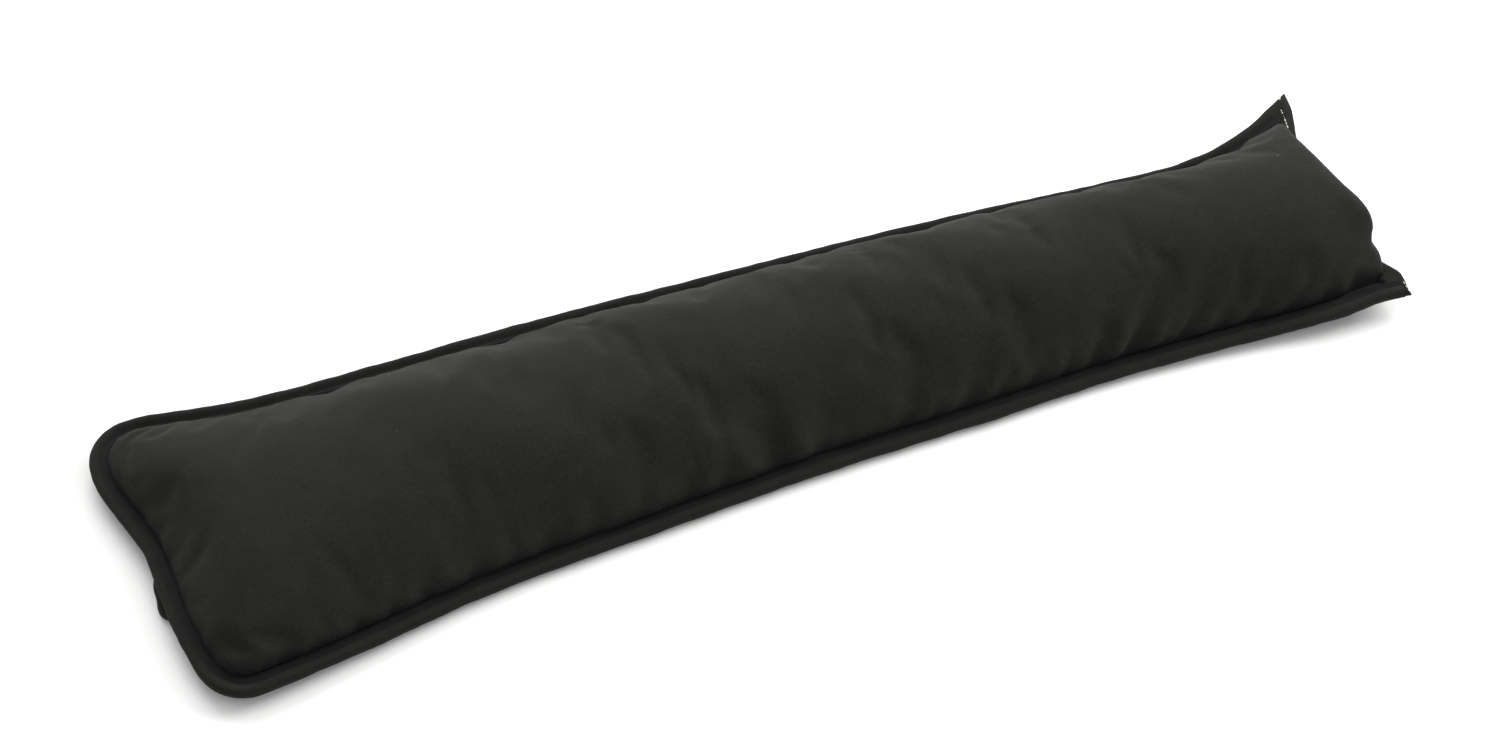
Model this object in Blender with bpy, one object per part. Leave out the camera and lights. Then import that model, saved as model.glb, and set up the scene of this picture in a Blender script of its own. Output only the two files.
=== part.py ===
"""Draught excluder: one long stuffed cloth cover with a bound edge, lying on its back panel.

The closed, rounded end is at -X. At +X the cover is shut by a plain seam, and its raw edge stands out.
The front edge is at -Y. The part rests on the flat patch of its back panel, at z = 0. Metres.
"""

import math
from collections import namedtuple

import bmesh
import bpy
import numpy as np

# Driving dimensions
CLEARANCE = 0.0003
ROLL_RADIUS = 0.0030  # the cord-like outer fold of the edge binding
BINDING_REACH = 0.0100  # from the roll's middle to the binding's inner edge
SLOT_HALF = 0.0009  # half of the slot between the binding's two legs
SLOT_FLOOR = 0.0020  # from the roll's middle to the bottom of that slot
HEM_HALF = SLOT_HALF - CLEARANCE  # half the thickness of the cover's edge inside the binding
HEM_START = SLOT_FLOOR + CLEARANCE
SEAM_INSET = 0.0118  # from the roll's middle to the line where the stuffed body starts
FIN_HALF = 0.0013  # half the thickness of that raw edge, two layers turned in
CORNER_ROUND = 0.5523  # handle length that makes a quarter turn nearly circular
STATION_STEP = 0.0085  # spacing of the lengthwise sections
RIM_STEP = 0.0090  # spacing of the points round the two ends
STRAIGHT_RADIUS = 0.35  # a binding flatter than this keeps every second point
LEFT_CENTRE_X = -0.348  # where the body's crown line starts
RIGHT_CENTRE_X = 0.394  # where it ends
CLOSED_SLACK = 0.55  # how much flatter than a quarter ellipse the body is at a closed corner
RAW_FRONT_SLACK = 0.60  # the same at the raw end's front corner
RAW_BACK_SLACK = 0.05  # and at its back corner
BINDING_CUT = 0.0080  # how far short of the raw edge the binding is cut
TIP_OUT = 0.0028  # how far past the roll's middle the cover's two raw corners stand out
TIP_STATIONS = (0.0, 0.0045, BINDING_CUT - 0.0010)  # the rim's points past the binding's cut ends
FRONT_SEAM_SHIFT = 0.0095  # how far back along the front edge the closing seam meets it
BACK_SEAM_SHIFT = 0.0160  # the same at the back edge, which flares out to its tip
SEAM_SHIFT_FADE = 0.0400  # how far from a tip that shift has died out
CORNER_REACH = 0.055  # how far a corner's slackness runs along the edge
FRONT_SLACK_X = -0.418  # where the closed end's front corner is slackest
BACK_SLACK_X = -0.432  # and its back corner
FULL_RISE = 0.8  # how much of a wall's fullness makes it rise sooner
RIDGE_START = 0.024  # how far in from the seam the ridges between gathers reach their height
SEAM_SHARE = 0.12  # how much of a gather's depth there is at the seam itself
GATHER_START = 0.010  # how far in from the seam a gather is at its full depth
UNDER_GATHER = 0.4  # how deep the back panel's gathers are against the front panel's
TOP_RINGS = 9
RING_CROWDING = 1.15  # over 1, so that the rings lie closer near the seam
LINE_STEP = 0.001  # spacing of the edge's own points
LINE_SOFTNESS = 7  # how many points each side take part in the softening of that line
FLAT_FROM = 0.50  # share of the half width, as a turn of the section, where the underside is flat
UNDER_TURNS = (0.13, 0.26, 0.38, FLAT_FROM, 0.75, 1.0)

Section = namedtuple("Section", "x front_y front_z front_tilt back_y back_z back_tilt crown")
SECTIONS = (
    Section(-0.400, -0.1245, 0.0110, 12, 0.1220, 0.0120, 0, 0.044),
    Section(-0.340, -0.1160, 0.0085, 20, 0.1105, 0.0120, 2, 0.050),
    Section(-0.240, -0.1000, 0.0062, 30, 0.1060, 0.0120, 4, 0.054),
    Section(-0.120, -0.0930, 0.0055, 34, 0.1020, 0.0130, 4, 0.056),
    Section(0.000, -0.0880, 0.0055, 34, 0.0950, 0.0130, 4, 0.060),
    Section(0.120, -0.0885, 0.0055, 34, 0.0880, 0.0130, 4, 0.063),
    Section(0.220, -0.0880, 0.0062, 32, 0.0790, 0.0130, 4, 0.066),
    Section(0.290, -0.0920, 0.0075, 28, 0.0715, 0.0130, 4, 0.067),
    Section(0.340, -0.0975, 0.0100, 22, 0.0660, 0.0150, 2, 0.067),
    Section(0.380, -0.1030, 0.0140, 14, 0.0680, 0.0180, 0, 0.066),
    Section(0.415, -0.1035, 0.0170, 6, 0.0785, 0.0210, -4, 0.064),
    Section(0.445, -0.1090, 0.0185, 0, 0.0930, 0.0240, -6, 0.062),
)
FRONT_TIP_X = 0.434
BACK_TIP_X = 0.4485

ClosedEnd = namedtuple("ClosedEnd", "y x z tilt")
LEFT_END = (
    ClosedEnd(-0.088, -0.4275, 0.0120, 10),
    ClosedEnd(-0.060, -0.4300, 0.0125, 12),
    ClosedEnd(-0.020, -0.4300, 0.0125, 14),
    ClosedEnd(0.010, -0.4295, 0.0125, 14),
    ClosedEnd(0.040, -0.4350, 0.0120, 12),
    ClosedEnd(0.070, -0.4415, 0.0120, 8),
    ClosedEnd(0.088, -0.4425, 0.0120, 6),
)
FRONT_CORNER = (-0.4270, -0.1270)
BACK_CORNER = (-0.4430, 0.1330)
CORNER_START_X = -0.398

# The raw end from the back tip to the front tip. Fullness is how much steeper than a quarter
# ellipse its wall is, and overhang how far that wall bulges past the closing seam.
RawEnd = namedtuple("RawEnd", "share pull_in lift fullness overhang")
RAW_END = (
    RawEnd(0.00, 0.0000, 0.0000, 0.00, 0.0000),
    RawEnd(0.08, 0.0012, -0.0014, 0.05, 0.0000),
    RawEnd(0.15, 0.0055, -0.0050, 0.09, 0.0000),
    RawEnd(0.28, 0.0105, -0.0100, 0.38, 0.0006),
    RawEnd(0.40, 0.0122, -0.0130, 0.60, 0.0012),
    RawEnd(0.50, 0.0110, -0.0140, 0.59, 0.0020),
    RawEnd(0.60, 0.0085, -0.0140, 0.50, 0.0030),
    RawEnd(0.72, 0.0070, -0.0115, 0.34, 0.0078),
    RawEnd(0.82, 0.0050, -0.0060, 0.17, 0.0015),
    RawEnd(0.88, 0.0005, -0.0008, 0.12, 0.0000),
    RawEnd(1.00, 0.0000, 0.0000, 0.00, 0.0000),
)

# Gathers where the seam pulls the panel in: side, place along it, depth, half width, reach and lean
Pucker = namedtuple("Pucker", "side at depth half_width reach lean")
PUCKERS = (
    Pucker("front", -0.372, 0.0030, 0.008, 0.022, 0.0),
    Pucker("front", -0.318, 0.0035, 0.009, 0.026, 0.1),
    Pucker("front", -0.293, 0.0027, 0.007, 0.020, 0.0),
    Pucker("front", -0.268, 0.0035, 0.008, 0.026, 0.0),
    Pucker("front", -0.236, 0.0032, 0.009, 0.030, 0.1),
    Pucker("front", -0.186, 0.0035, 0.010, 0.026, 0.0),
    Pucker("front", -0.153, 0.0024, 0.008, 0.024, 0.2),
    Pucker("front", -0.084, 0.0046, 0.010, 0.030, -0.1),
    Pucker("front", -0.057, 0.0035, 0.008, 0.024, 0.1),
    Pucker("front", -0.012, 0.0062, 0.010, 0.052, 0.0),
    Pucker("front", 0.019, 0.0038, 0.009, 0.036, 0.2),
    Pucker("front", 0.069, 0.0041, 0.011, 0.052, 0.3),
    Pucker("front", 0.112, 0.0046, 0.010, 0.054, 0.4),
    Pucker("front", 0.163, 0.0041, 0.010, 0.046, 0.4),
    Pucker("front", 0.210, 0.0051, 0.010, 0.070, 0.5),
    Pucker("front", 0.241, 0.0062, 0.010, 0.080, 0.5),
    Pucker("front", 0.276, 0.0046, 0.009, 0.048, 0.6),
    Pucker("front", 0.325, 0.0041, 0.009, 0.036, 0.7),
    Pucker("front", 0.372, 0.0041, 0.008, 0.030, 0.3),
    Pucker("end", 0.060, 0.0028, 0.008, 0.028, 0.0),
    Pucker("end", 0.030, 0.0028, 0.007, 0.024, 0.0),
    Pucker("end", 0.002, 0.0031, 0.008, 0.026, 0.0),
    Pucker("end", -0.050, 0.0031, 0.008, 0.030, 0.0),
    Pucker("back", -0.285, 0.0036, 0.012, 0.040, 0.2),
    Pucker("back", -0.150, 0.0060, 0.019, 0.060, 0.1),
    Pucker("back", 0.010, 0.0022, 0.012, 0.030, 0.0),
    Pucker("back", 0.150, 0.0022, 0.012, 0.030, 0.0),
    Pucker("back", 0.260, 0.0024, 0.010, 0.036, -0.2),
    Pucker("back", 0.372, 0.0030, 0.011, 0.040, -0.3),
    Pucker("raw", 0.070, 0.0034, 0.009, 0.030, 0.0),
    Pucker("raw", 0.000, 0.0023, 0.010, 0.026, 0.0),
    Pucker("raw", -0.070, 0.0047, 0.009, 0.034, 0.0),
)

# Uneven stuffing: wave length along the cover, height, and where it starts
LUMP_SLANT = 0.6  # how much the waves run aslant
LUMP_FADE = 0.2  # how much they change across the cover
LUMP_TURNS = 9  # how fast they change across it
Lump = namedtuple("Lump", "length height start")
LUMPS = (
    Lump(0.310, 0.0016, 0.02),
    Lump(0.170, 0.0010, 0.11),
    Lump(0.096, 0.0006, 0.05),
)

BindingRow = namedtuple("BindingRow", "out half")
BINDING_PROFILE = (
    BindingRow(-BINDING_REACH, 0.0017),
    BindingRow(-0.0086, 0.0023),
    BindingRow(-0.0062, 0.0017),
    BindingRow(-0.0034, 0.0021),
    BindingRow(0.0000, ROLL_RADIUS),
    BindingRow(0.0022, 0.0020),
)

CLOTH_BLACK = (0.020, 0.021, 0.020, 1.0)
CLOTH_ROUGHNESS = 0.92
CLOTH_SHARP_DEGREES = 50
BINDING_BLACK = (0.014, 0.015, 0.014, 1.0)
BINDING_ROUGHNESS = 0.88
BINDING_SHARP_DEGREES = 40

UP = np.array((0.0, 0.0, 1.0))


def smooth(places, values, at):
    """The values at the given places of a smooth curve through a table's rows."""
    places = np.asarray(places, float)
    values = np.asarray(values, float)
    at = np.asarray(at, float)
    slopes = np.gradient(values, places)
    row = np.clip(np.searchsorted(places, at) - 1, 0, len(places) - 2)
    step = places[row + 1] - places[row]
    t = (at - places[row]) / step
    start = (2 * t**3 - 3 * t**2 + 1) * values[row] + (t**3 - 2 * t**2 + t) * step * slopes[row]
    end = (3 * t**2 - 2 * t**3) * values[row + 1] + (t**3 - t**2) * step * slopes[row + 1]
    return start + end


def table_value(table, key, column, at):
    """One column of a table at a place given in its key column."""
    return smooth([getattr(r, key) for r in table], [getattr(r, column) for r in table], at)


def side_line(side, xs):
    """Points of the front or back edge at the given x: x, y, z and tilt in degrees."""
    columns = [table_value(SECTIONS, "x", f"{side}_{name}", xs) for name in ("y", "z", "tilt")]
    return np.column_stack([xs, *columns])


def corner_line(start, corner, end):
    """A quarter turn from one edge point to the next, round a corner in plan."""
    t = np.linspace(0, 1, 40)[1:-1, None]
    first = start[:2] + CORNER_ROUND * (np.array(corner) - start[:2])
    last = end[:2] + CORNER_ROUND * (np.array(corner) - end[:2])
    near = (1 - t) ** 3 * start[:2] + 3 * (1 - t) ** 2 * t * first
    plan = near + 3 * (1 - t) * t**2 * last + t**3 * end[:2]
    return np.column_stack([plan, start[2:] + (end[2:] - start[2:]) * t])


def edge_line():
    """The binding's roll as close points, from the front tip round the closed end to the back tip."""
    front = side_line("front", np.arange(FRONT_TIP_X, CORNER_START_X, -LINE_STEP))
    back = side_line("back", np.arange(CORNER_START_X, BACK_TIP_X + LINE_STEP / 2, LINE_STEP))
    ys = np.arange(LEFT_END[0].y, LEFT_END[-1].y, LINE_STEP)
    rows = [table_value(LEFT_END, "y", column, ys) for column in ("x", "z", "tilt")]
    end = np.column_stack([rows[0], ys, rows[1], rows[2]])
    front_turn = corner_line(front[-1], FRONT_CORNER, end[0])
    back_turn = corner_line(end[-1], BACK_CORNER, back[0])
    line = np.concatenate([front, front_turn, end, back_turn, back])
    return softened(line, LINE_SOFTNESS)


def softened(line, reach):
    """The line with each point moved to the mean of its near neighbours, its two ends held."""
    total = np.concatenate([np.zeros((1, line.shape[1])), np.cumsum(line, axis=0)])
    index = np.arange(len(line))
    width = np.minimum(np.minimum(index, len(line) - 1 - index), reach)
    return (total[index + width + 1] - total[index - width]) / (2 * width + 1)[:, None]


def run(line):
    """The distance along a line's plan to each of its points."""
    return np.concatenate([[0.0], np.cumsum(np.linalg.norm(np.diff(line[:, :2], axis=0), axis=1))])


class Edge:
    """The edge of the cover, measured along its run from the front tip to the back tip."""

    def __init__(self):
        self.line = edge_line()
        self.run = run(self.line)
        self.length = self.run[-1]
        turn = np.gradient(self.line[:, :2], self.run, axis=0)
        turn /= np.linalg.norm(turn, axis=1)[:, None]
        self.out = np.column_stack([-turn[:, 1], turn[:, 0]])
        heading = np.unwrap(np.arctan2(turn[:, 1], turn[:, 0]))
        self.bend = np.abs(np.gradient(heading, self.run))
        self.closed_middle = self.run[int(np.argmin(self.line[:, 0]))]

    def at(self, s):
        """The roll's middle, the way out down the binding's slope, and the way across it."""
        point = np.array([np.interp(s, self.run, self.line[:, c]) for c in range(4)])
        out = np.array([np.interp(s, self.run, self.out[:, c]) for c in range(2)] + [0.0])
        out /= np.linalg.norm(out)
        tilt = math.radians(point[3])
        slope = out * math.cos(tilt) - UP * math.sin(tilt)
        across = out * math.sin(tilt) + UP * math.cos(tilt)
        return point[:3], slope, across

    def run_at_x(self, side, x):
        """How far along the edge a side's point at x lies."""
        half = self.run < self.closed_middle
        if side == "back":
            return float(np.interp(x, self.line[~half, 0], self.run[~half]))
        return float(np.interp(-x, -self.line[half, 0], self.run[half]))

    def bend_at(self, s):
        return float(np.interp(s, self.run, self.bend))


RimPoint = namedtuple("RimPoint", "side place hem seam across half centre slack fullness overhang")


def spine_points(edge):
    """The body's crown line, a point for each section, above the middle of its two seams."""
    count = round((RIGHT_CENTRE_X - LEFT_CENTRE_X) / STATION_STEP) + 1
    points = []
    for x in np.linspace(LEFT_CENTRE_X, RIGHT_CENTRE_X, count):
        seams = []
        for side in ("front", "back"):
            middle, slope, _ = edge.at(edge.run_at_x(side, x))
            seams.append(middle - slope * SEAM_INSET)
        crown = float(table_value(SECTIONS, "x", "crown", x))
        points.append(np.array([x, (seams[0][1] + seams[1][1]) / 2, crown]))
    return points


def corner_slack(edge, s):
    """How much flatter the body is at a place on its edge than along a side."""
    corners = (
        (0.0, RAW_FRONT_SLACK),
        (edge.length, RAW_BACK_SLACK),
        (edge.run_at_x("front", FRONT_SLACK_X), CLOSED_SLACK),
        (edge.run_at_x("back", BACK_SLACK_X), CLOSED_SLACK),
    )
    return max(slack * math.exp(-(((s - corner) / CORNER_REACH) ** 2)) for corner, slack in corners)


def side_rim(edge, s, side, centre):
    """One point of the rim where the binding holds the hem."""
    near_tip = min(s, edge.length - s)
    fade = max(0.0, 1 - near_tip / SEAM_SHIFT_FADE)
    middle, slope, across = edge.at(s)
    inner_s = s + FRONT_SEAM_SHIFT * fade if s < edge.length / 2 else s - BACK_SEAM_SHIFT * fade
    inner, inner_slope, _ = edge.at(inner_s)
    bare = min(1.0, max(0.0, TIP_STATIONS[-1] - near_tip) / (TIP_STATIONS[-1] - TIP_STATIONS[-2]))
    hem_out = (TIP_OUT + HEM_START) * bare - HEM_START
    place = middle[1] if side == "end" else middle[0]
    return RimPoint(
        side,
        place,
        middle + slope * hem_out,
        inner - inner_slope * SEAM_INSET,
        across,
        HEM_HALF,
        centre,
        corner_slack(edge, s),
        0.0,
        0.0,
    )


def raw_rim(first, last, centre):
    """The points of the raw edge between the back tip and the front tip."""
    span = np.linalg.norm(first.hem - last.hem)
    count = round(span / RIM_STEP)

    def raw_value(column, share):
        return float(table_value(RAW_END, "share", column, share))

    def pulled(start, end, share):
        pull = np.array([-raw_value("pull_in", share), 0.0, raw_value("lift", share)])
        return start + (end - start) * share + pull

    points = []
    for i in range(1, count):
        share = i / count
        hem = pulled(first.hem, last.hem, share)
        seam = pulled(first.seam, last.seam, share)
        from_side = min(share, 1 - share) * span
        thick = min(1.0, max(0.0, from_side / SEAM_INSET - 1))
        half = HEM_HALF + (FIN_HALF - HEM_HALF) * thick
        corner_slackness = RAW_BACK_SLACK if share < 0.5 else RAW_FRONT_SLACK
        slack = corner_slackness * math.exp(-((from_side / CORNER_REACH) ** 2))
        fullness = raw_value("fullness", share)
        overhang = raw_value("overhang", share)
        points.append(
            RimPoint("raw", hem[1], hem, seam, UP, half, centre, slack, fullness, overhang)
        )
    return points


def rim_points(edge, spine):
    """The whole closed rim, in order: front side, closed end, back side, raw end."""
    rim = []
    front_run = [edge.run_at_x("front", p[0]) for p in spine]
    back_run = [edge.run_at_x("back", p[0]) for p in spine]

    def add(start, end, side, centre):
        count = max(1, round(abs(end - start) / RIM_STEP))
        for i in range(count):
            s = start + (end - start) * i / count
            rim.append((s, side, centre))

    last = len(spine) - 1
    rim.extend((s, "front", last) for s in TIP_STATIONS)
    add(TIP_STATIONS[-1] + RIM_STEP, front_run[last], "front", last)
    rim.extend((front_run[k], "front", k) for k in range(last, 0, -1))
    end_start = edge.run_at_x("front", CORNER_START_X)
    end_stop = edge.run_at_x("back", CORNER_START_X)
    add(front_run[0], end_start, "front", 0)
    add(end_start, end_stop, "end", 0)
    add(end_stop, back_run[0], "back", 0)
    rim.extend((back_run[k], "back", k) for k in range(last))
    add(back_run[last], edge.length - TIP_STATIONS[-1] - RIM_STEP, "back", last)
    rim.append((edge.length - TIP_STATIONS[-1] - RIM_STEP, "back", last))
    rim.extend((edge.length - s, "back", last) for s in reversed(TIP_STATIONS))
    points = [side_rim(edge, s, side, centre) for s, side, centre in rim]
    points += raw_rim(points[-1], points[0], last)
    return points, [s for s, _, _ in rim]


def pucker_depth(point, inward):
    """How far the seam's gathers sink or raise the panel, at a distance in from the seam."""
    depth = 0.0
    for pucker in PUCKERS:
        if pucker.side != point.side:
            continue
        off = (point.place - pucker.at - pucker.lean * inward) / pucker.half_width
        fade = math.exp(-((inward / pucker.reach) ** 2)) * min(1.0, SEAM_SHARE + inward / GATHER_START)
        shape = (1 - off**2) * math.exp(-(off**2) / 2)
        if shape < 0:
            shape *= min(1.0, inward / RIDGE_START)
        depth += pucker.depth * fade * shape
    return depth


def lump_height(x, y):
    """The uneven stuffing's rise over the even crown."""
    rise = 0.0
    for lump in LUMPS:
        wave = math.sin(math.tau * (x + LUMP_SLANT * y - lump.start) / lump.length)
        rise += lump.height * wave * (1 - LUMP_FADE * math.cos(LUMP_TURNS * y / lump.length))
    return rise


def top_point(point, crown, t):
    """A point of the front panel: t runs from 0 at the seam to 1 on the crown line."""
    angle = t * math.pi / 2
    seam = point.seam + point.across * point.half
    away = (seam - crown) * np.array([1, 1, 0])
    width = np.linalg.norm(away)
    across = 1 - math.cos(angle) ** (1 - point.fullness)
    rise = math.sin(angle) ** (1 + point.slack - FULL_RISE * point.fullness)
    place = seam + (crown - seam) * np.array([across, across, rise])
    normal = away / width * math.cos(angle) + UP * math.sin(angle)
    place = place + away / width * point.overhang * math.sin(2 * angle)
    inward = math.hypot(across * width, place[2] - seam[2])
    place = place - normal * pucker_depth(point, inward)
    return place + UP * lump_height(place[0], place[1]) * rise**2


def under_point(point, crown, t):
    """A point of the back panel, which is flat on the floor from FLAT_FROM inwards."""
    seam = point.seam - point.across * point.half
    across = 1 - math.cos(t * math.pi / 2)
    drop = math.sin(min(1.0, t / FLAT_FROM) * math.pi / 2)
    place = seam + (crown - seam) * np.array([across, across, 0])
    away = (seam - crown) * np.array([1, 1, 0])
    width = np.linalg.norm(away)
    gather = UNDER_GATHER * max(0.0, pucker_depth(point, across * width)) * (1 - drop)
    place = place - away / width * gather
    return np.array([place[0], place[1], seam[2] * (1 - drop)])


def material(name, colour, roughness):
    made = bpy.data.materials.new(name)
    made.use_nodes = True
    shader = made.node_tree.nodes["Principled BSDF"]
    shader.inputs["Base Color"].default_value = colour
    shader.inputs["Roughness"].default_value = roughness
    shader.inputs["Metallic"].default_value = 0.0
    return made


def finished(name, mesh_builder, colour, roughness, sharp_degrees):
    """Turns a bmesh into a named, smooth-shaded object with its own material."""
    bmesh.ops.recalc_face_normals(mesh_builder, faces=mesh_builder.faces)
    mesh = bpy.data.meshes.new(name)
    mesh_builder.to_mesh(mesh)
    mesh_builder.free()
    mesh.shade_smooth()
    mesh.set_sharp_from_angle(angle=math.radians(sharp_degrees))
    mesh.materials.append(material(name, colour, roughness))
    made = bpy.data.objects.new(name, mesh)
    bpy.context.scene.collection.objects.link(made)
    return made


def filled_cover(rim, spine):
    """The stuffed cover: its two panels, the thin hem that the binding holds, and the raw end."""
    builder = bmesh.new()

    def ring(places):
        return [builder.verts.new(p) for p in places]

    def join(outer, inner):
        for i in range(len(outer)):
            j = (i + 1) % len(outer)
            corners = [outer[i], outer[j], inner[j], inner[i]]
            builder.faces.new(list(dict.fromkeys(corners)))

    def floor_point(crown):
        return np.array([crown[0], crown[1], 0.0])

    top = ring([p.hem + p.across * p.half for p in rim])
    under = ring([p.hem - p.across * p.half for p in rim])
    join(under, top)
    turns = [(j / TOP_RINGS) ** RING_CROWDING for j in range(TOP_RINGS)]
    for t in turns:
        inner = ring([top_point(p, spine[p.centre], t) for p in rim])
        join(top, inner)
        top = inner
    crowns = ring([c + UP * lump_height(c[0], c[1]) for c in spine])
    join(top, [crowns[p.centre] for p in rim])
    for t in (0.0,) + UNDER_TURNS[:-1]:
        inner = ring([under_point(p, spine[p.centre], t) for p in rim])
        join(under, inner)
        under = inner
    floor = ring([floor_point(c) for c in spine])
    join(under, [floor[p.centre] for p in rim])
    return finished("filled_cover", builder, CLOTH_BLACK, CLOTH_ROUGHNESS, CLOTH_SHARP_DEGREES)


def binding_profile():
    """The binding's section: its outer outline, then the slot that holds the hem."""
    upper = [(row.out, row.half) for row in BINDING_PROFILE]
    lower = [(out, -half) for out, half in reversed(upper)]
    mouth, floor = -BINDING_REACH, -SLOT_FLOOR
    slot = [(mouth, -SLOT_HALF), (floor, -SLOT_HALF), (floor, SLOT_HALF), (mouth, SLOT_HALF)]
    return upper + [(ROLL_RADIUS, 0.0)] + lower + slot


def close_cap(builder, cap):
    """Closes a cut end: a fan of faces on each leg, and one between the legs on the roll."""
    rows = len(BINDING_PROFILE)
    tip = rows
    lower = list(range(2 * rows, rows, -1))
    lower_mouth, lower_floor, upper_floor, upper_mouth = range(2 * rows + 1, 2 * rows + 5)
    legs = ((list(range(rows)), upper_floor, upper_mouth), (lower, lower_floor, lower_mouth))
    for leg, floor, mouth in legs:
        line = [mouth] + leg + [tip]
        for a, b in zip(line, line[1:]):
            builder.faces.new([cap[floor], cap[a], cap[b]])
    builder.faces.new([cap[lower_floor], cap[upper_floor], cap[tip]])


def edge_binding(edge, runs):
    """The folded binding round three sides of the cover, open at its two cut ends."""
    kept = [BINDING_CUT]
    skipped = False
    past_cut = BINDING_CUT + RIM_STEP / 2
    for s in runs:
        if not past_cut < s < edge.length - past_cut:
            continue
        if not skipped and edge.bend_at(s) < 1 / STRAIGHT_RADIUS:
            skipped = True
            continue
        kept.append(s)
        skipped = False
    kept.append(edge.length - BINDING_CUT)
    profile = binding_profile()
    raw_line = edge.line[-1, :3] - edge.line[0, :3]
    raw_normal = np.cross(raw_line, UP)
    builder = bmesh.new()
    rings = []
    for i, s in enumerate(kept):
        middle, slope, across = edge.at(s)
        places = [middle + slope * out + across * up for out, up in profile]
        if i in (0, len(kept) - 1):
            beside, _, _ = edge.at(kept[1] if i == 0 else kept[-2])
            along = (beside - middle) / np.dot(beside - middle, raw_normal)
            places = [p - along * np.dot(p - middle, raw_normal) for p in places]
        rings.append([builder.verts.new(p) for p in places])
    for before, after in zip(rings, rings[1:]):
        for i in range(len(profile)):
            j = (i + 1) % len(profile)
            builder.faces.new([before[i], before[j], after[j], after[i]])
    for cap in (rings[0], rings[-1]):
        close_cap(builder, cap)
    return finished(
        "edge_binding", builder, BINDING_BLACK, BINDING_ROUGHNESS, BINDING_SHARP_DEGREES
    )


def centred(made):
    """Moves the meshes so that the middle of their common box is over the frame's origin."""
    places = np.array([v.co for item in made for v in item.data.vertices])
    middle = (places.min(axis=0) + places.max(axis=0)) / 2
    for item in made:
        for vertex in item.data.vertices:
            vertex.co.x -= middle[0]
            vertex.co.y -= middle[1]


def main():
    for item in list(bpy.data.objects):
        bpy.data.objects.remove(item)
    edge = Edge()
    spine = spine_points(edge)
    rim, runs = rim_points(edge, spine)
    centred([filled_cover(rim, spine), edge_binding(edge, runs)])


main()
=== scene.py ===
"""Looks of a stuffed draught excluder: black brushed cloth, bound on three sides, with one stitched raw end.

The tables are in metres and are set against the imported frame. They follow the solids' own edge, except that
the binding lies flatter along the front and the closed end, and that the wall of the raw end is fuller.
"""

import math
from collections import namedtuple

import bmesh
import bpy
import numpy as np
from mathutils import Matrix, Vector, kdtree, noise


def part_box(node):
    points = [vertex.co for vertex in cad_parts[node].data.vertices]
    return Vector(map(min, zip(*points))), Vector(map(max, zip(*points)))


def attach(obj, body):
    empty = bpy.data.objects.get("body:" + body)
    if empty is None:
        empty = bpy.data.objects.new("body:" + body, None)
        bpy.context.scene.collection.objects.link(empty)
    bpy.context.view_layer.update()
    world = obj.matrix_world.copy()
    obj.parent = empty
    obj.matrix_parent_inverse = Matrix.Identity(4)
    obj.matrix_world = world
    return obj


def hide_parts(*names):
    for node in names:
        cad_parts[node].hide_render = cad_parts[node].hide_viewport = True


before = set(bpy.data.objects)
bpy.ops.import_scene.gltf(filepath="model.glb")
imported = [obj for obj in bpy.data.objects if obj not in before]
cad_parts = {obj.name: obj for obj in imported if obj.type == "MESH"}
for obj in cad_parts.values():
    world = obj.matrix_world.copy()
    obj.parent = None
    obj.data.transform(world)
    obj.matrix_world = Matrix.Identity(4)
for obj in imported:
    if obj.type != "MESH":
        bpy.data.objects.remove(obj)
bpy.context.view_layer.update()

bl_info = {
    "name": "Draught excluder",
    "version": (1, 0, 0),
    "blender": (4, 5, 0),
    "location": "View3D > Sidebar > Draught excluder",
    "description": "Builds the stuffed cover, its binding, stitches and stage on the packed frame",
    "category": "Object",
}

# The cover's edge: the middle of the binding's outer roll, its slope in degrees, and the body's height
Section = namedtuple("Section", "x front_y front_z front_tilt back_y back_z back_tilt crown")
SECTIONS = (
    Section(-0.400, -0.1245, 0.0110, 7, 0.1220, 0.0120, 0, 0.044),
    Section(-0.340, -0.1160, 0.0085, 7, 0.1105, 0.0120, 2, 0.050),
    Section(-0.240, -0.1000, 0.0062, 7, 0.1060, 0.0120, 4, 0.054),
    Section(-0.120, -0.0930, 0.0055, 6, 0.1020, 0.0130, 4, 0.056),
    Section(0.000, -0.0880, 0.0055, 6, 0.0950, 0.0130, 4, 0.060),
    Section(0.120, -0.0885, 0.0055, 6, 0.0880, 0.0130, 4, 0.063),
    Section(0.220, -0.0880, 0.0062, 6, 0.0790, 0.0130, 4, 0.066),
    Section(0.290, -0.0920, 0.0075, 6, 0.0715, 0.0130, 4, 0.067),
    Section(0.340, -0.0975, 0.0100, 6, 0.0660, 0.0150, 2, 0.067),
    Section(0.380, -0.1030, 0.0140, 5, 0.0680, 0.0180, 0, 0.066),
    Section(0.415, -0.1035, 0.0170, 4, 0.0785, 0.0210, -4, 0.064),
    Section(0.445, -0.1090, 0.0185, 0, 0.0930, 0.0240, -6, 0.062),
)
FRONT_TIP_X = 0.434
BACK_TIP_X = 0.4485
ClosedEnd = namedtuple("ClosedEnd", "y x z tilt")
LEFT_END = (
    ClosedEnd(-0.088, -0.4275, 0.0120, 6),
    ClosedEnd(-0.060, -0.4300, 0.0125, 6),
    ClosedEnd(-0.020, -0.4300, 0.0125, 6),
    ClosedEnd(0.010, -0.4295, 0.0125, 6),
    ClosedEnd(0.040, -0.4350, 0.0120, 6),
    ClosedEnd(0.070, -0.4415, 0.0120, 6),
    ClosedEnd(0.088, -0.4425, 0.0120, 6),
)
FRONT_CORNER = (-0.4270, -0.1270)
BACK_CORNER = (-0.4430, 0.1330)
CORNER_START_X = -0.398
CORNER_ROUND = 0.5523
CORNER_POINTS = 40
LINE_STEP = 0.001  # spacing of the edge's own points
LINE_SOFTNESS = 7  # how many points each side take part in the softening of that line

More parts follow.
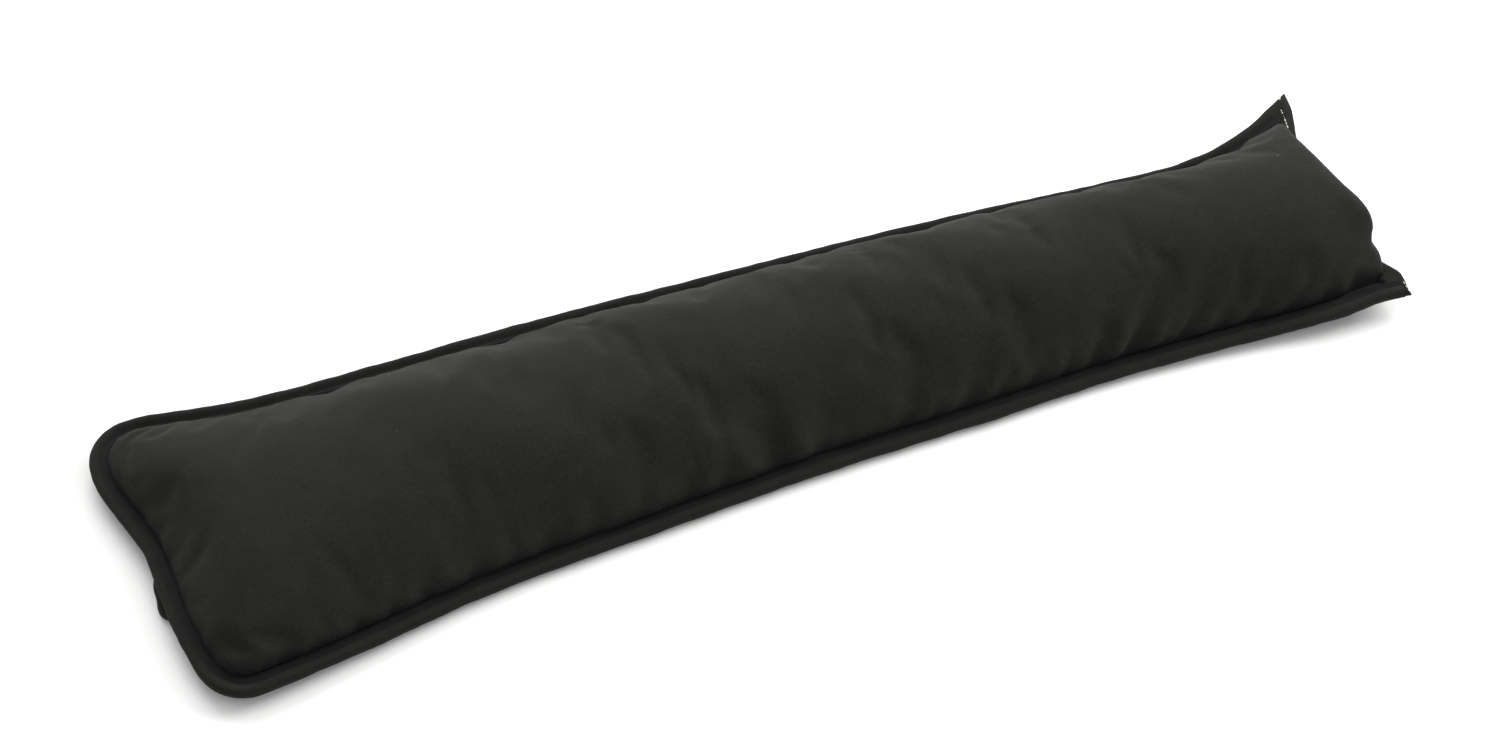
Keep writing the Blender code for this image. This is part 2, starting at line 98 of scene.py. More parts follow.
# The raw end from the back tip to the front tip. Fullness is how much steeper than a quarter ellipse its wall
# is, and overhang how far that wall bulges past the closing seam.
RawEnd = namedtuple("RawEnd", "share pull_in lift fullness overhang")
RAW_END = (
    RawEnd(0.00, 0.0000, 0.0000, 0.00, 0.0000),
    RawEnd(0.08, 0.0012, -0.0014, 0.05, 0.0000),
    RawEnd(0.15, 0.0055, -0.0050, 0.14, 0.0028),
    RawEnd(0.28, 0.0105, -0.0100, 0.44, 0.0068),
    RawEnd(0.40, 0.0122, -0.0130, 0.58, 0.0074),
    RawEnd(0.50, 0.0110, -0.0140, 0.56, 0.0062),
    RawEnd(0.60, 0.0085, -0.0140, 0.52, 0.0074),
    RawEnd(0.72, 0.0070, -0.0115, 0.58, 0.0165),
    RawEnd(0.82, 0.0050, -0.0060, 0.62, 0.0160),
    RawEnd(0.88, 0.0005, -0.0008, 0.46, 0.0070),
    RawEnd(1.00, 0.0000, 0.0000, 0.00, 0.0000),
)

# Sizes of the seam, in metres
SEAM_INSET = 0.0118  # from the roll's middle to where the stuffed body starts
BODY_INSET = 0.0104  # the same before the remesh, which rounds off the seam's sharp edge
END_INSET = 0.0086  # the same at the closed end, where the body comes up to the binding
CORNER_INSET = 0.0040  # how much further in the body starts at the raw end's front corner
BULGE_HEIGHT = 0.013  # how high above the seam the body's front bulges out most
FRONT_BULGE = ((-0.42, 0.0035), (-0.30, 0.0045), (0.00, 0.0040), (0.20, 0.0030), (0.34, 0.0022), (0.42, 0.0))
SWELLING = 0.0012  # how much smaller than its final size the cover starts, before the stuffing swells it
HEM_OUT = -0.0030  # how deep in the binding the cover's hem reaches, from the roll's middle
HEM_BEND = -0.0085  # where the hem begins to bend down
HEM_HALF = 0.0006  # half the hem's thickness
WEB_INSET = 0.0145  # how far in the hem runs under the body
BINDING_CUT = 0.0080  # how far short of the raw edge the binding is cut at the back tip
FRONT_CUT = 0.0045  # the same at the front tip
WEB_DROP = 0.0028  # how much lower than the binding the hem's inner edge lies
TIP_OUT = 0.0028  # how far past the roll's middle the raw corners stand out
FRONT_SEAM_SHIFT = 0.0095  # how far back along the front edge the closing seam meets it
BACK_SEAM_SHIFT = 0.0235
SEAM_SHIFT_FADE = 0.0400
LEFT_CENTRE_X = -0.348
RIGHT_CENTRE_X = 0.394
RAW_FRONT_SLACK = 0.60
RAW_BACK_SLACK = 0.05
CORNER_REACH = 0.055
FLAT_FROM = 0.50
FULL_RISE = 0.8  # how much of a wall's fullness makes it rise sooner
BARE_HEM = 0.0070  # how far from a tip the hem begins to come out of the binding
BARE_FADE = 0.0025  # over which length it does

# How finely the cover is made before it is remeshed
FINE_STEP = 0.0045
TOP_RINGS = 26
UNDER_RINGS = 12
RING_CROWDING = 1.15  # over 1, so that the rings lie closer near the seam
MERGE_GAP = 0.0008  # points of the shell that lie closer than this become one
ROUND_STEPS = 22  # rounds of evening out, each a little
CLOTH_FRAMES = 20
CLOTH = {
    "quality": 6,
    "mass": 0.25,
    "tension_stiffness": 12,
    "compression_stiffness": 12,
    "shear_stiffness": 4,
    "bending_stiffness": 2.0,
    "use_pressure": True,
    "shrink_min": -0.012,
    "vertex_group_mass": "held",
}
FLOOR_GRIP = 0.0015  # cloth below this height is held on the floor
FREE_ABOVE = 0.001  # from this height on, a point may move
FREE_OVER = 0.006  # and this much higher it moves fully
HELD_NEAR_SEAM = 0.0060  # the cloth is held this near to the seam

# The binding's section, out from the roll's middle: roll, shallow valley, stitched ridge and inner edge
BandRow = namedtuple("BandRow", "out half")
BAND_PROFILE = (
    BandRow(0.0030, 0.0000),
    BandRow(0.0029, 0.0014),
    BandRow(0.0024, 0.0025),
    BandRow(0.0014, 0.0033),
    BandRow(0.0000, 0.0036),
    BandRow(-0.0014, 0.0035),
    BandRow(-0.0028, 0.0028),
    BandRow(-0.0040, 0.0019),
    BandRow(-0.0050, 0.0011),
    BandRow(-0.0060, 0.0008),
    BandRow(-0.0070, 0.0011),
    BandRow(-0.0078, 0.0015),
    BandRow(-0.0085, 0.0015),
    BandRow(-0.0090, 0.0009),
    BandRow(-0.0094, 0.0012),
    BandRow(-0.0099, 0.0015),
    BandRow(-0.0104, 0.0012),
    BandRow(-0.0107, 0.0006),
)
# The fold of the lower panel at the closed end: places across the cover, and how far out it stands there
Tuck = namedtuple("Tuck", "y out")
TUCK = (
    Tuck(-0.044, -0.0020),
    Tuck(-0.040, 0.0024),
    Tuck(-0.035, 0.0064),
    Tuck(-0.028, 0.0062),
    Tuck(-0.022, 0.0044),
    Tuck(-0.016, 0.0048),
    Tuck(-0.009, 0.0038),
    Tuck(-0.003, 0.0010),
    Tuck(0.004, -0.0020),
)
TUCK_LEVEL = 0.0038  # its middle above the floor
TUCK_ROOT = -0.0160
SLANT_REACH = 0.016  # how far from its cut end the binding's slant has died out
# The white stitches at the front and back tips: out from the roll's middle, and past the binding's cut
TipStitch = namedtuple("TipStitch", "out past")
TIP_STITCHES = (
    (TipStitch(-0.0002, 0.0032), TipStitch(-0.0036, 0.0032), TipStitch(-0.0072, 0.0032)),
    (TipStitch(0.0028, -0.0030), TipStitch(-0.0085, -0.0040), TipStitch(-0.0172, -0.0058)),
)
HIDDEN_STITCHES = 7  # points of the closing seam next to each tip whose stitches are sunk in the fold
STITCH_OUT = -0.0090  # where the topstitching runs on the binding, in its narrow groove

# The ditch that the seam pulls into the panel, and the painted shade that darkens the cloth along it
DITCH_DEPTH = 0.0024  # along the front and the raw end
FAR_DITCH_DEPTH = DITCH_DEPTH / 3  # along the back and the closed end
DITCH_WIDTH = 0.0055
DITCH_OUT = -0.0100  # where the ditch runs on the binding, out from the roll's middle
PAINTED_SHADE_COVER = 0.0080  # how far from the seam the painted shade reaches, on the cover and on the binding
PAINTED_SHADE_BINDING = 0.0050

# Gathers by side: the place along the seam, depth, half width, reach up the panel, lean, bow, and the height
# of its two ridges as a share of its depth
Gather = namedtuple("Gather", "at depth half_width reach lean bow ridge")
GATHERS = {
    "front": (
        (-0.376, 0.0019, 0.0060, 0.021, 0.00, 0.0, 0.4),
        (-0.326, 0.0022, 0.0060, 0.024, 0.10, 0.0, 0.5),
        (-0.302, 0.0016, 0.0050, 0.018, 0.00, 0.0, 0.4),
        (-0.277, 0.0021, 0.0060, 0.024, -0.10, 0.0, 0.5),
        (-0.242, 0.0021, 0.0065, 0.029, 0.15, 0.0, 0.5),
        (-0.214, 0.0011, 0.0050, 0.019, 0.00, 0.0, 0.3),
        (-0.190, 0.0021, 0.0070, 0.024, 0.00, 0.0, 0.5),
        (-0.159, 0.0016, 0.0060, 0.022, 0.20, 0.0, 0.4),
        (-0.126, 0.0011, 0.0050, 0.018, 0.00, 0.0, 0.3),
        (-0.091, 0.0025, 0.0070, 0.027, -0.10, 0.0, 0.5),
        (-0.065, 0.0019, 0.0055, 0.024, 0.10, 0.0, 0.4),
        (-0.024, 0.0046, 0.0085, 0.040, -0.35, 0.0, 0.7),
        (0.003, 0.0019, 0.0060, 0.027, 0.30, 0.0, 0.5),
        (0.019, 0.0015, 0.0055, 0.032, 0.30, 0.0, 0.4),
        (0.062, 0.0028, 0.0070, 0.037, 0.40, 0.1, 0.5),
        (0.084, 0.0012, 0.0050, 0.024, 0.40, 0.0, 0.4),
        (0.108, 0.0031, 0.0070, 0.041, 0.45, 0.1, 0.6),
        (0.134, 0.0015, 0.0055, 0.029, 0.40, 0.0, 0.4),
        (0.158, 0.0025, 0.0065, 0.033, 0.45, 0.1, 0.5),
        (0.182, 0.0015, 0.0050, 0.029, 0.50, 0.0, 0.4),
        (0.204, 0.0035, 0.0075, 0.053, 0.45, 0.2, 0.6),
        (0.231, 0.0046, 0.0080, 0.059, 0.45, 0.2, 0.8),
        (0.252, 0.0016, 0.0050, 0.029, 0.50, 0.0, 0.4),
        (0.268, 0.0030, 0.0065, 0.037, 0.60, 0.1, 0.6),
        (0.296, 0.0017, 0.0055, 0.029, 0.60, 0.0, 0.4),
        (0.318, 0.0027, 0.0065, 0.035, 0.85, 0.1, 0.6),
        (0.346, 0.0017, 0.0055, 0.024, 0.80, 0.0, 0.4),
        (0.374, 0.0022, 0.0060, 0.029, 0.50, 0.0, 0.5),
        (0.398, 0.0025, 0.0060, 0.024, 0.20, 0.0, 0.5),
    ),
    "end": (
        (0.066, 0.0006, 0.0055, 0.016, 0.10, 0.0, 0.3),
        (0.036, 0.0009, 0.0050, 0.020, 0.15, 0.0, 0.4),
        (0.016, 0.0008, 0.0045, 0.018, 0.10, 0.0, 0.4),
        (-0.008, 0.0010, 0.0050, 0.022, 0.10, 0.0, 0.4),
        (-0.044, 0.0006, 0.0050, 0.016, 0.00, 0.0, 0.3),
        (-0.074, 0.0009, 0.0050, 0.018, 0.20, 0.0, 0.4),
        (-0.092, 0.0008, 0.0045, 0.016, 0.30, 0.0, 0.3),
    ),
    "back": (
        (-0.284, 0.0022, 0.0100, 0.029, 0.20, 0.0, 0.4),
        (-0.236, 0.0008, 0.0060, 0.019, 0.00, 0.0, 0.3),
        (-0.160, 0.0025, 0.0110, 0.040, 0.10, 0.0, 0.4),
        (-0.132, 0.0015, 0.0070, 0.029, -0.10, 0.0, 0.4),
        (-0.060, 0.0009, 0.0070, 0.022, 0.00, 0.0, 0.3),
        (0.012, 0.0012, 0.0080, 0.027, 0.00, 0.0, 0.3),
        (0.094, 0.0009, 0.0070, 0.022, 0.10, 0.0, 0.3),
        (0.150, 0.0013, 0.0080, 0.027, 0.00, 0.0, 0.3),
        (0.228, 0.0010, 0.0070, 0.024, -0.10, 0.0, 0.3),
        (0.300, 0.0015, 0.0070, 0.032, -0.20, 0.0, 0.4),
        (0.344, 0.0018, 0.0070, 0.035, -0.30, 0.0, 0.4),
        (0.384, 0.0018, 0.0060, 0.032, -0.20, 0.0, 0.5),
        (0.410, 0.0015, 0.0050, 0.024, 0.00, 0.0, 0.4),
    ),
    "raw": (
        (0.066, 0.0016, 0.0070, 0.036, 0.10, 0.0, 0.4),
        (0.034, 0.0011, 0.0060, 0.030, 0.00, 0.0, 0.4),
        (0.004, 0.0013, 0.0070, 0.034, 0.00, 0.0, 0.4),
        (-0.030, 0.0011, 0.0060, 0.030, 0.00, 0.0, 0.4),
        (-0.062, 0.0018, 0.0060, 0.036, 0.00, 0.0, 0.5),
    ),
}
GATHER_WIDENING = 0.9  # how much wider a gather is at the end of its reach
GATHER_WIDEST = 1.2  # the share of its reach past which it grows no wider
GATHER_START = 0.006  # how far in from the seam a gather is at its full depth
SEAM_SHARE = 0.25  # how much of that depth there is at the seam itself
RIDGE_START = 0.012  # how far in from the seam the ridges reach their height

# The ridges beside a gather, in its half widths: place, width and share of the height
Ridge = namedtuple("Ridge", "off width height")
RIDGES = (Ridge(1.7, 0.75, 1.0), Ridge(-1.8, 0.85, 0.6))

# Each side's seam: the axis along it, the axis across it, and how far from it across the gathers reach
SideAxes = namedtuple("SideAxes", "along across reach")
SIDES = {
    "front": SideAxes(0, 1, 0.09),
    "back": SideAxes(0, 1, 0.09),
    "end": SideAxes(1, 0, 0.07),
    "raw": SideAxes(1, 0, 0.07),
}

# Uneven stuffing: wave length along the cover, height, and where it starts
LUMP_SLANT = 0.6  # how much the waves run aslant
LUMP_FADE = 0.2  # how much they change across the cover
LUMP_TURNS = 9  # how fast they change across it
Lump = namedtuple("Lump", "length height start")
LUMPS = (
    Lump(0.310, 0.0016, 0.02),
    Lump(0.170, 0.0010, 0.11),
    Lump(0.096, 0.0006, 0.05),
)

UP = np.array((0.0, 0.0, 1.0))


def smooth(places, values, at):
    """The values at the given places of a smooth curve through a table's rows."""
    places = np.asarray(places, float)
    values = np.asarray(values, float)
    at = np.asarray(at, float)
    slopes = np.gradient(values, places)
    row = np.clip(np.searchsorted(places, at) - 1, 0, len(places) - 2)
    step = places[row + 1] - places[row]
    t = (at - places[row]) / step
    start = (2 * t**3 - 3 * t**2 + 1) * values[row] + (t**3 - 2 * t**2 + t) * step * slopes[row]
    end = (3 * t**2 - 2 * t**3) * values[row + 1] + (t**3 - t**2) * step * slopes[row + 1]
    return start + end


def column(rows, name, key, at):
    """One column of a table at a place given in its first column."""
    return smooth([getattr(r, key) for r in rows], [getattr(r, name) for r in rows], at)


def side_line(side, xs):
    values = [column(SECTIONS, f"{side}_{name}", "x", xs) for name in ("y", "z", "tilt")]
    return np.column_stack([xs, *values])


def corner_line(start, corner, end):
    """A rounded corner between two points of the edge."""
    t = np.linspace(0, 1, CORNER_POINTS)[1:-1, None]
    rest = 1 - t
    first = start[:2] + CORNER_ROUND * (np.array(corner) - start[:2])
    last = end[:2] + CORNER_ROUND * (np.array(corner) - end[:2])
    plan = rest**3 * start[:2] + 3 * rest**2 * t * first + 3 * rest * t**2 * last + t**3 * end[:2]
    return np.column_stack([plan, start[2:] + (end[2:] - start[2:]) * t])


def edge_line():
    """The roll's middle as close points with its tilt, from the front tip round to the back tip."""
    front = side_line("front", np.arange(FRONT_TIP_X, CORNER_START_X, -LINE_STEP))
    back = side_line("back", np.arange(CORNER_START_X, BACK_TIP_X + LINE_STEP / 2, LINE_STEP))
    ys = np.arange(LEFT_END[0].y, LEFT_END[-1].y, LINE_STEP)
    rows = [column(LEFT_END, c, "y", ys) for c in ("x", "z", "tilt")]
    end = np.column_stack([rows[0], ys, rows[1], rows[2]])
    front_corner = corner_line(front[-1], FRONT_CORNER, end[0])
    back_corner = corner_line(end[-1], BACK_CORNER, back[0])
    line = np.concatenate([front, front_corner, end, back_corner, back])
    total = np.concatenate([np.zeros((1, 4)), np.cumsum(line, axis=0)])
    index = np.arange(len(line))
    width = np.minimum(np.minimum(index, len(line) - 1 - index), LINE_SOFTNESS)
    return (total[index + width + 1] - total[index - width]) / (2 * width + 1)[:, None]


class Edge:
    """The edge of the cover in the frame, measured along its run from the front tip to the back tip."""

    def __init__(self):
        self.line = edge_line()
        steps = np.linalg.norm(np.diff(self.line[:, :2], axis=0), axis=1)
        self.run = np.concatenate([[0.0], np.cumsum(steps)])
        self.length = self.run[-1]
        turn = np.gradient(self.line[:, :2], self.run, axis=0)
        turn /= np.linalg.norm(turn, axis=1)[:, None]
        self.out = np.column_stack([-turn[:, 1], turn[:, 0]])
        self.closed_middle = self.run[int(np.argmin(self.line[:, 0]))]
        outside = self.line[:, :2] + self.out * BAND_PROFILE[0].out
        low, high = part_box("edge_binding")
        held = (self.run > BINDING_CUT) & (self.run < self.length - BINDING_CUT)
        self.shift = np.array([
            low[0] - outside[held, 0].min(),
            (low[1] + high[1]) / 2 - (outside[held, 1].min() + outside[held, 1].max()) / 2,
        ])
        self.line[:, :2] += self.shift

    def at(self, s):
        """The roll's middle, the outward direction down the binding's slope, and the direction across it."""
        point = np.array([np.interp(s, self.run, self.line[:, c]) for c in range(4)])
        out = np.array([np.interp(s, self.run, self.out[:, c]) for c in range(2)] + [0.0])
        out /= np.linalg.norm(out)
        tilt = math.radians(point[3])
        down = out * math.cos(tilt) - UP * math.sin(tilt)
        return point[:3], down, out * math.sin(tilt) + UP * math.cos(tilt)

    def run_at_x(self, side, x):
        """How far along the edge a side's point at x lies, x as in the tables."""
        half = self.run < self.closed_middle
        x = x + self.shift[0]
        if side == "back":
            return float(np.interp(x, self.line[~half, 0], self.run[~half]))
        return float(np.interp(-x, -self.line[half, 0], self.run[half]))


RimPoint = namedtuple("RimPoint", "side hem seam across centre slack fullness overhang")


def spine_points(edge):
    """The body's crown line above the middle of its two seams."""
    count = round((RIGHT_CENTRE_X - LEFT_CENTRE_X) / FINE_STEP) + 1
    points = []
    for x in np.linspace(LEFT_CENTRE_X, RIGHT_CENTRE_X, count):
        seams = []
        for side in ("front", "back"):
            middle, slope, _ = edge.at(edge.run_at_x(side, x))
            seams.append(middle - slope * SEAM_INSET)
        crown = float(column(SECTIONS, "crown", "x", x))
        points.append(np.array([x + edge.shift[0], (seams[0][1] + seams[1][1]) / 2, crown]))
    return points


def side_rim(edge, s, side, centre, inset):
    """The rim's point on a bound side, s along the edge."""
    near_tip = min(s, edge.length - s)
    fade = max(0.0, 1 - near_tip / SEAM_SHIFT_FADE)
    middle, slope, across = edge.at(s)
    inner_s = s + FRONT_SEAM_SHIFT * fade if s < edge.length / 2 else s - BACK_SEAM_SHIFT * fade
    inner, inner_slope, _ = edge.at(inner_s)
    bare = min(1.0, max(0.0, (BARE_HEM - near_tip) / BARE_FADE))
    if s < edge.length / 2:
        inset += CORNER_INSET * fade
    corners = ((0.0, RAW_FRONT_SLACK), (edge.length, RAW_BACK_SLACK))
    slack = max(value * math.exp(-(((s - corner) / CORNER_REACH) ** 2)) for corner, value in corners)
    hem = middle + slope * ((TIP_OUT - HEM_OUT) * bare + HEM_OUT)
    return RimPoint(side, hem, inner - inner_slope * inset, across, centre, slack, 0.0, 0.0)


def raw_rim(first, last, centre):
    """The raw edge between the back tip and the front tip."""
    span = np.linalg.norm(first.hem - last.hem)
    count = round(span / FINE_STEP)

    def value(name, share):
        return float(column(RAW_END, name, "share", share))

    points = []
    for i in range(1, count):
        share = i / count
        move = np.array([-value("pull_in", share), 0.0, value("lift", share)])
        hem = first.hem + (last.hem - first.hem) * share + move
        seam = first.seam + (last.seam - first.seam) * share + move
        corner_slackness = RAW_BACK_SLACK if share < 0.5 else RAW_FRONT_SLACK
        slack = corner_slackness * math.exp(-((min(share, 1 - share) * span / CORNER_REACH) ** 2))
        fullness = value("fullness", share)
        points.append(RimPoint("raw", hem, seam, UP, centre, slack, fullness, value("overhang", share)))
    return points


def rim_points(edge, spine, inset=SEAM_INSET, end_inset=SEAM_INSET):
    """The whole closed rim: front side, closed end, back side, raw end."""
    front_run = [edge.run_at_x("front", p[0] - edge.shift[0]) for p in spine]
    back_run = [edge.run_at_x("back", p[0] - edge.shift[0]) for p in spine]
    rim = []

    def add(start, end, side, centre):
        count = max(1, round(abs(end - start) / FINE_STEP))
        rim.extend((start + (end - start) * i / count, side, centre) for i in range(count))

    last = len(spine) - 1
    add(0.0, front_run[last], "front", last)
    rim.extend((front_run[k], "front", k) for k in range(last, 0, -1))
    end_start = edge.run_at_x("front", CORNER_START_X)
    end_stop = edge.run_at_x("back", CORNER_START_X)
    add(front_run[0], end_start, "front", 0)
    add(end_start, end_stop, "end", 0)
    add(end_stop, back_run[0], "back", 0)
    rim.extend((back_run[k], "back", k) for k in range(last))
    add(back_run[last], edge.length, "back", last)
    rim.append((edge.length, "back", last))
    points = []
    for s, side, centre in rim:
        points.append(side_rim(edge, s, side, centre, end_inset if side == "end" else inset))
    return points + raw_rim(points[-1], points[0], last)


def lump_height(x, y):
    """How much higher the uneven stuffing makes the panel here."""
    return sum(
        lump.height
        * math.sin(math.tau * (x + LUMP_SLANT * y - lump.start) / lump.length)
        * (1 - LUMP_FADE * math.cos(LUMP_TURNS * y / lump.length))
        for lump in LUMPS
    )


def top_point(point, crown, t):
    """A point of the front panel: t runs from 0 at the seam to 1 on the crown line."""
    angle = t * math.pi / 2
    away = (point.seam - crown) * np.array([1, 1, 0])
    width = np.linalg.norm(away)
    across = 1 - math.cos(angle) ** (1 - point.fullness)
    rise = math.sin(angle) ** (1 + point.slack - FULL_RISE * point.fullness)
    place = point.seam + (crown - point.seam) * np.array([across, across, rise])
    place = place + away / width * point.overhang * math.sin(2 * angle)
    if point.side == "front":
        height = (place[2] - point.seam[2]) / BULGE_HEIGHT
        out = np.interp(point.seam[0], *zip(*FRONT_BULGE))
        place = place + away / width * out * height * math.exp(1 - height)
    return place + UP * lump_height(place[0], place[1]) * rise**2


def under_point(point, crown, t):
    """A point of the back panel, which is flat on the floor from FLAT_FROM inwards."""
    across = 1 - math.cos(t * math.pi / 2)
    drop = math.sin(min(1.0, t / FLAT_FROM) * math.pi / 2)
    place = point.seam + (crown - point.seam) * np.array([across, across, 0])
    return np.array([place[0], place[1], point.seam[2] * (1 - drop)])


# Small helpers of Blender's


def linear(hex_colour):
    """An sRGB hex colour as linear red, green, blue and alpha."""
    parts = [int(hex_colour[i : i + 2], 16) / 255 for i in (1, 3, 5)]
    return tuple(c / 12.92 if c <= 0.04045 else ((c + 0.055) / 1.055) ** 2.4 for c in parts) + (1.0,)


def add_node(tree, kind, settings=None, inputs=None):
    """Adds a node, sets its properties, and fills or links its inputs by name or number."""
    made = tree.nodes.new(kind)
    for name, value in (settings or {}).items():
        setattr(made, name, value)
    for name, value in (inputs or {}).items():
        socket = made.inputs[name]
        if isinstance(value, bpy.types.NodeSocket):
            tree.links.new(value, socket)
        else:
            socket.default_value = value
    return made


def new_piece(name, mesh):
    made = bpy.data.objects.new(name, mesh)
    bpy.context.scene.collection.objects.link(made)
    return made


def flattened(made, name):
    """The evaluated result of a piece's modifiers as a plain mesh on a new piece; the old one goes."""
    bpy.context.view_layer.update()
    mesh = bpy.data.meshes.new_from_object(made.evaluated_get(bpy.context.evaluated_depsgraph_get()))
    mesh.name = name
    old = made.data
    bpy.data.objects.remove(made)
    if old.users == 0 and isinstance(old, bpy.types.Mesh):
        bpy.data.meshes.remove(old)
    return new_piece(name, mesh)


def coordinates(mesh):
    flat = np.empty(len(mesh.vertices) * 3)
    mesh.vertices.foreach_get("co", flat)
    return flat.reshape(-1, 3)


def vertex_normals(mesh):
    flat = np.empty(len(mesh.vertices) * 3)
    mesh.vertex_normals.foreach_get("vector", flat)
    return flat.reshape(-1, 3)


def put_coordinates(mesh, places):
    mesh.vertices.foreach_set("co", places.astype(float).ravel())
    mesh.update()


# Materials


def new_material(name):
    """A material with an empty node tree, and the Object coordinates that its patterns read."""
    made = bpy.data.materials.new(name)
    made.use_nodes = True
    made.node_tree.nodes.clear()
    return made, made.node_tree, add_node(made.node_tree, "ShaderNodeTexCoord").outputs["Object"]


def brushed_polyester(name, dark, light, grain_mm, sheen):
    """Brushed polyester cloth, a knitted back with a raised nap: it swallows light face on, and turns a
    soft grey where it is seen at a grazing angle. Its short fibres lie in small patches, a mottled grain."""
    made, tree, place = new_material(name)
    # Tufts of nap: real ones are near 0.4 mm, drawn at grain_mm so that they show
    tufts = {"Vector": place, "Scale": 1000 / grain_mm / 2, "Detail": 3.0, "Roughness": 0.62}
    grain = add_node(tree, "ShaderNodeTexNoise", inputs=tufts).outputs["Fac"]
    # Where a hand has brushed the nap one way or the other, in patches of about 30 mm
    strokes = {"Vector": place, "Scale": 33.0, "Detail": 2.0, "Distortion": 0.6}
    brushed = add_node(tree, "ShaderNodeTexNoise", inputs=strokes).outputs["Fac"]
    contrast = {"Value": grain, "From Min": 0.22, "From Max": 0.78}
    spread = add_node(tree, "ShaderNodeMapRange", inputs=contrast).outputs["Result"]
    swing = {"Value": brushed, "From Min": 0.3, "From Max": 0.7, "To Min": -0.14, "To Max": 0.14}
    patch = add_node(tree, "ShaderNodeMapRange", inputs=swing).outputs["Result"]
    clamped = {"operation": "ADD", "use_clamp": True}
    share = add_node(tree, "ShaderNodeMath", clamped, {0: spread, 1: patch}).outputs["Value"]
    # A lint fibre here and there, caught in the nap
    specks = add_node(tree, "ShaderNodeTexVoronoi", {"feature": "F1"}, {"Vector": place, "Scale": 62.0})
    distance = specks.outputs["Distance"]
    close = add_node(tree, "ShaderNodeMath", {"operation": "LESS_THAN"}, {0: distance, 1: 0.034}).outputs["Value"]
    picked = add_node(tree, "ShaderNodeSeparateColor", inputs={"Color": specks.outputs["Color"]}).outputs["Red"]
    rare = add_node(tree, "ShaderNodeMath", {"operation": "GREATER_THAN"}, {0: picked, 1: 0.88}).outputs["Value"]
    lint = add_node(tree, "ShaderNodeMath", {"operation": "MULTIPLY"}, {0: close, 1: rare}).outputs["Value"]
    # Painted shade: in the ditch of the seam the colour is darkened towards near black, standing in for the shadow
    # that falls there
    pressed = add_node(tree, "ShaderNodeAttribute", {"attribute_name": "pressed"}).outputs["Fac"]
    ditch_shade_share = add_node(tree, "ShaderNodeMath", {"operation": "MULTIPLY"}, {0: pressed, 1: 0.80}).outputs["Value"]
    colour = linear(dark)
    for factor, other in ((share, light), (lint, "#75746E"), (ditch_shade_share, "#050605")):
        mixed = {"Factor": factor, 6: colour, 7: linear(other)}
        colour = add_node(tree, "ShaderNodeMix", {"data_type": "RGBA"}, mixed).outputs[2]
    fibres = {"Vector": place, "Scale": 1000 / grain_mm, "Detail": 2.0, "Roughness": 0.7}
    fine = add_node(tree, "ShaderNodeTexNoise", inputs=fibres).outputs["Fac"]
    normal = None
    for height, strength, distance in ((grain, 0.50, 0.0006), (fine, 0.30, 0.0003)):
        relief = {"Height": height, "Strength": strength, "Distance": distance}
        if normal:
            relief["Normal"] = normal
        normal = add_node(tree, "ShaderNodeBump", inputs=relief).outputs["Normal"]
    roughness = {"Value": grain, "To Min": 0.84, "To Max": 0.98}
    rough = add_node(tree, "ShaderNodeMapRange", inputs=roughness).outputs["Result"]
    shader = add_node(tree, "ShaderNodeBsdfPrincipled", inputs={
        "Base Color": colour, "Roughness": rough, "Normal": normal, "Specular IOR Level": 0.22,
        "Sheen Weight": sheen, "Sheen Roughness": 0.42, "Sheen Tint": linear("#A0A39A"),
    })
    add_node(tree, "ShaderNodeOutputMaterial", inputs={"Surface": shader.outputs["BSDF"]})
    return made


def spun_thread(name, colour, twist_mm, roughness):
    """Spun polyester sewing thread: two plies twisted together, which give the eye a fine slanting ripple."""
    made, tree, place = new_material(name)
    # One turn of the ply is near 0.7 mm
    twist = {"Vector": place, "Scale": 1000 / twist_mm / 20, "Distortion": 1.5}
    ply = add_node(tree, "ShaderNodeTexWave", {"bands_direction": "DIAGONAL"}, twist).outputs["Fac"]
    dark = tuple(c * 0.62 for c in linear(colour)[:3]) + (1.0,)
    plies = {"Factor": ply, 6: dark, 7: linear(colour)}
    mixed = add_node(tree, "ShaderNodeMix", {"data_type": "RGBA"}, plies).outputs[2]
    relief = {"Height": ply, "Strength": 0.4, "Distance": 0.0002}
    bump = add_node(tree, "ShaderNodeBump", inputs=relief).outputs["Normal"]
    shader = add_node(tree, "ShaderNodeBsdfPrincipled", inputs={
        "Base Color": mixed, "Roughness": roughness, "Normal": bump, "Specular IOR Level": 0.15,
    })
    add_node(tree, "ShaderNodeOutputMaterial", inputs={"Surface": shader.outputs["BSDF"]})
    return made


def matt_paper(name, colour):
    """Matt white background paper: even and without a gloss."""
    made, tree, place = new_material(name)
    # Paper's tooth, about 2 mm
    grain = {"Vector": place, "Scale": 500.0, "Detail": 1.0}
    tooth = add_node(tree, "ShaderNodeTexNoise", inputs=grain).outputs["Fac"]
    roughness = {"Value": tooth, "To Min": 0.90, "To Max": 1.0}
    rough = add_node(tree, "ShaderNodeMapRange", inputs=roughness).outputs["Result"]
    shader = add_node(tree, "ShaderNodeBsdfPrincipled", inputs={
        "Base Color": colour, "Roughness": rough, "Specular IOR Level": 0.1,
    })
    add_node(tree, "ShaderNodeOutputMaterial", inputs={"Surface": shader.outputs["BSDF"]})
    return made


# Meshes


def closed_mesh(builder, name):
    """The builder's shell as a mesh whose faces point outwards."""
    bmesh.ops.recalc_face_normals(builder, faces=builder.faces)
    mesh = bpy.data.meshes.new(name)
    builder.to_mesh(mesh)
    builder.free()
    return mesh


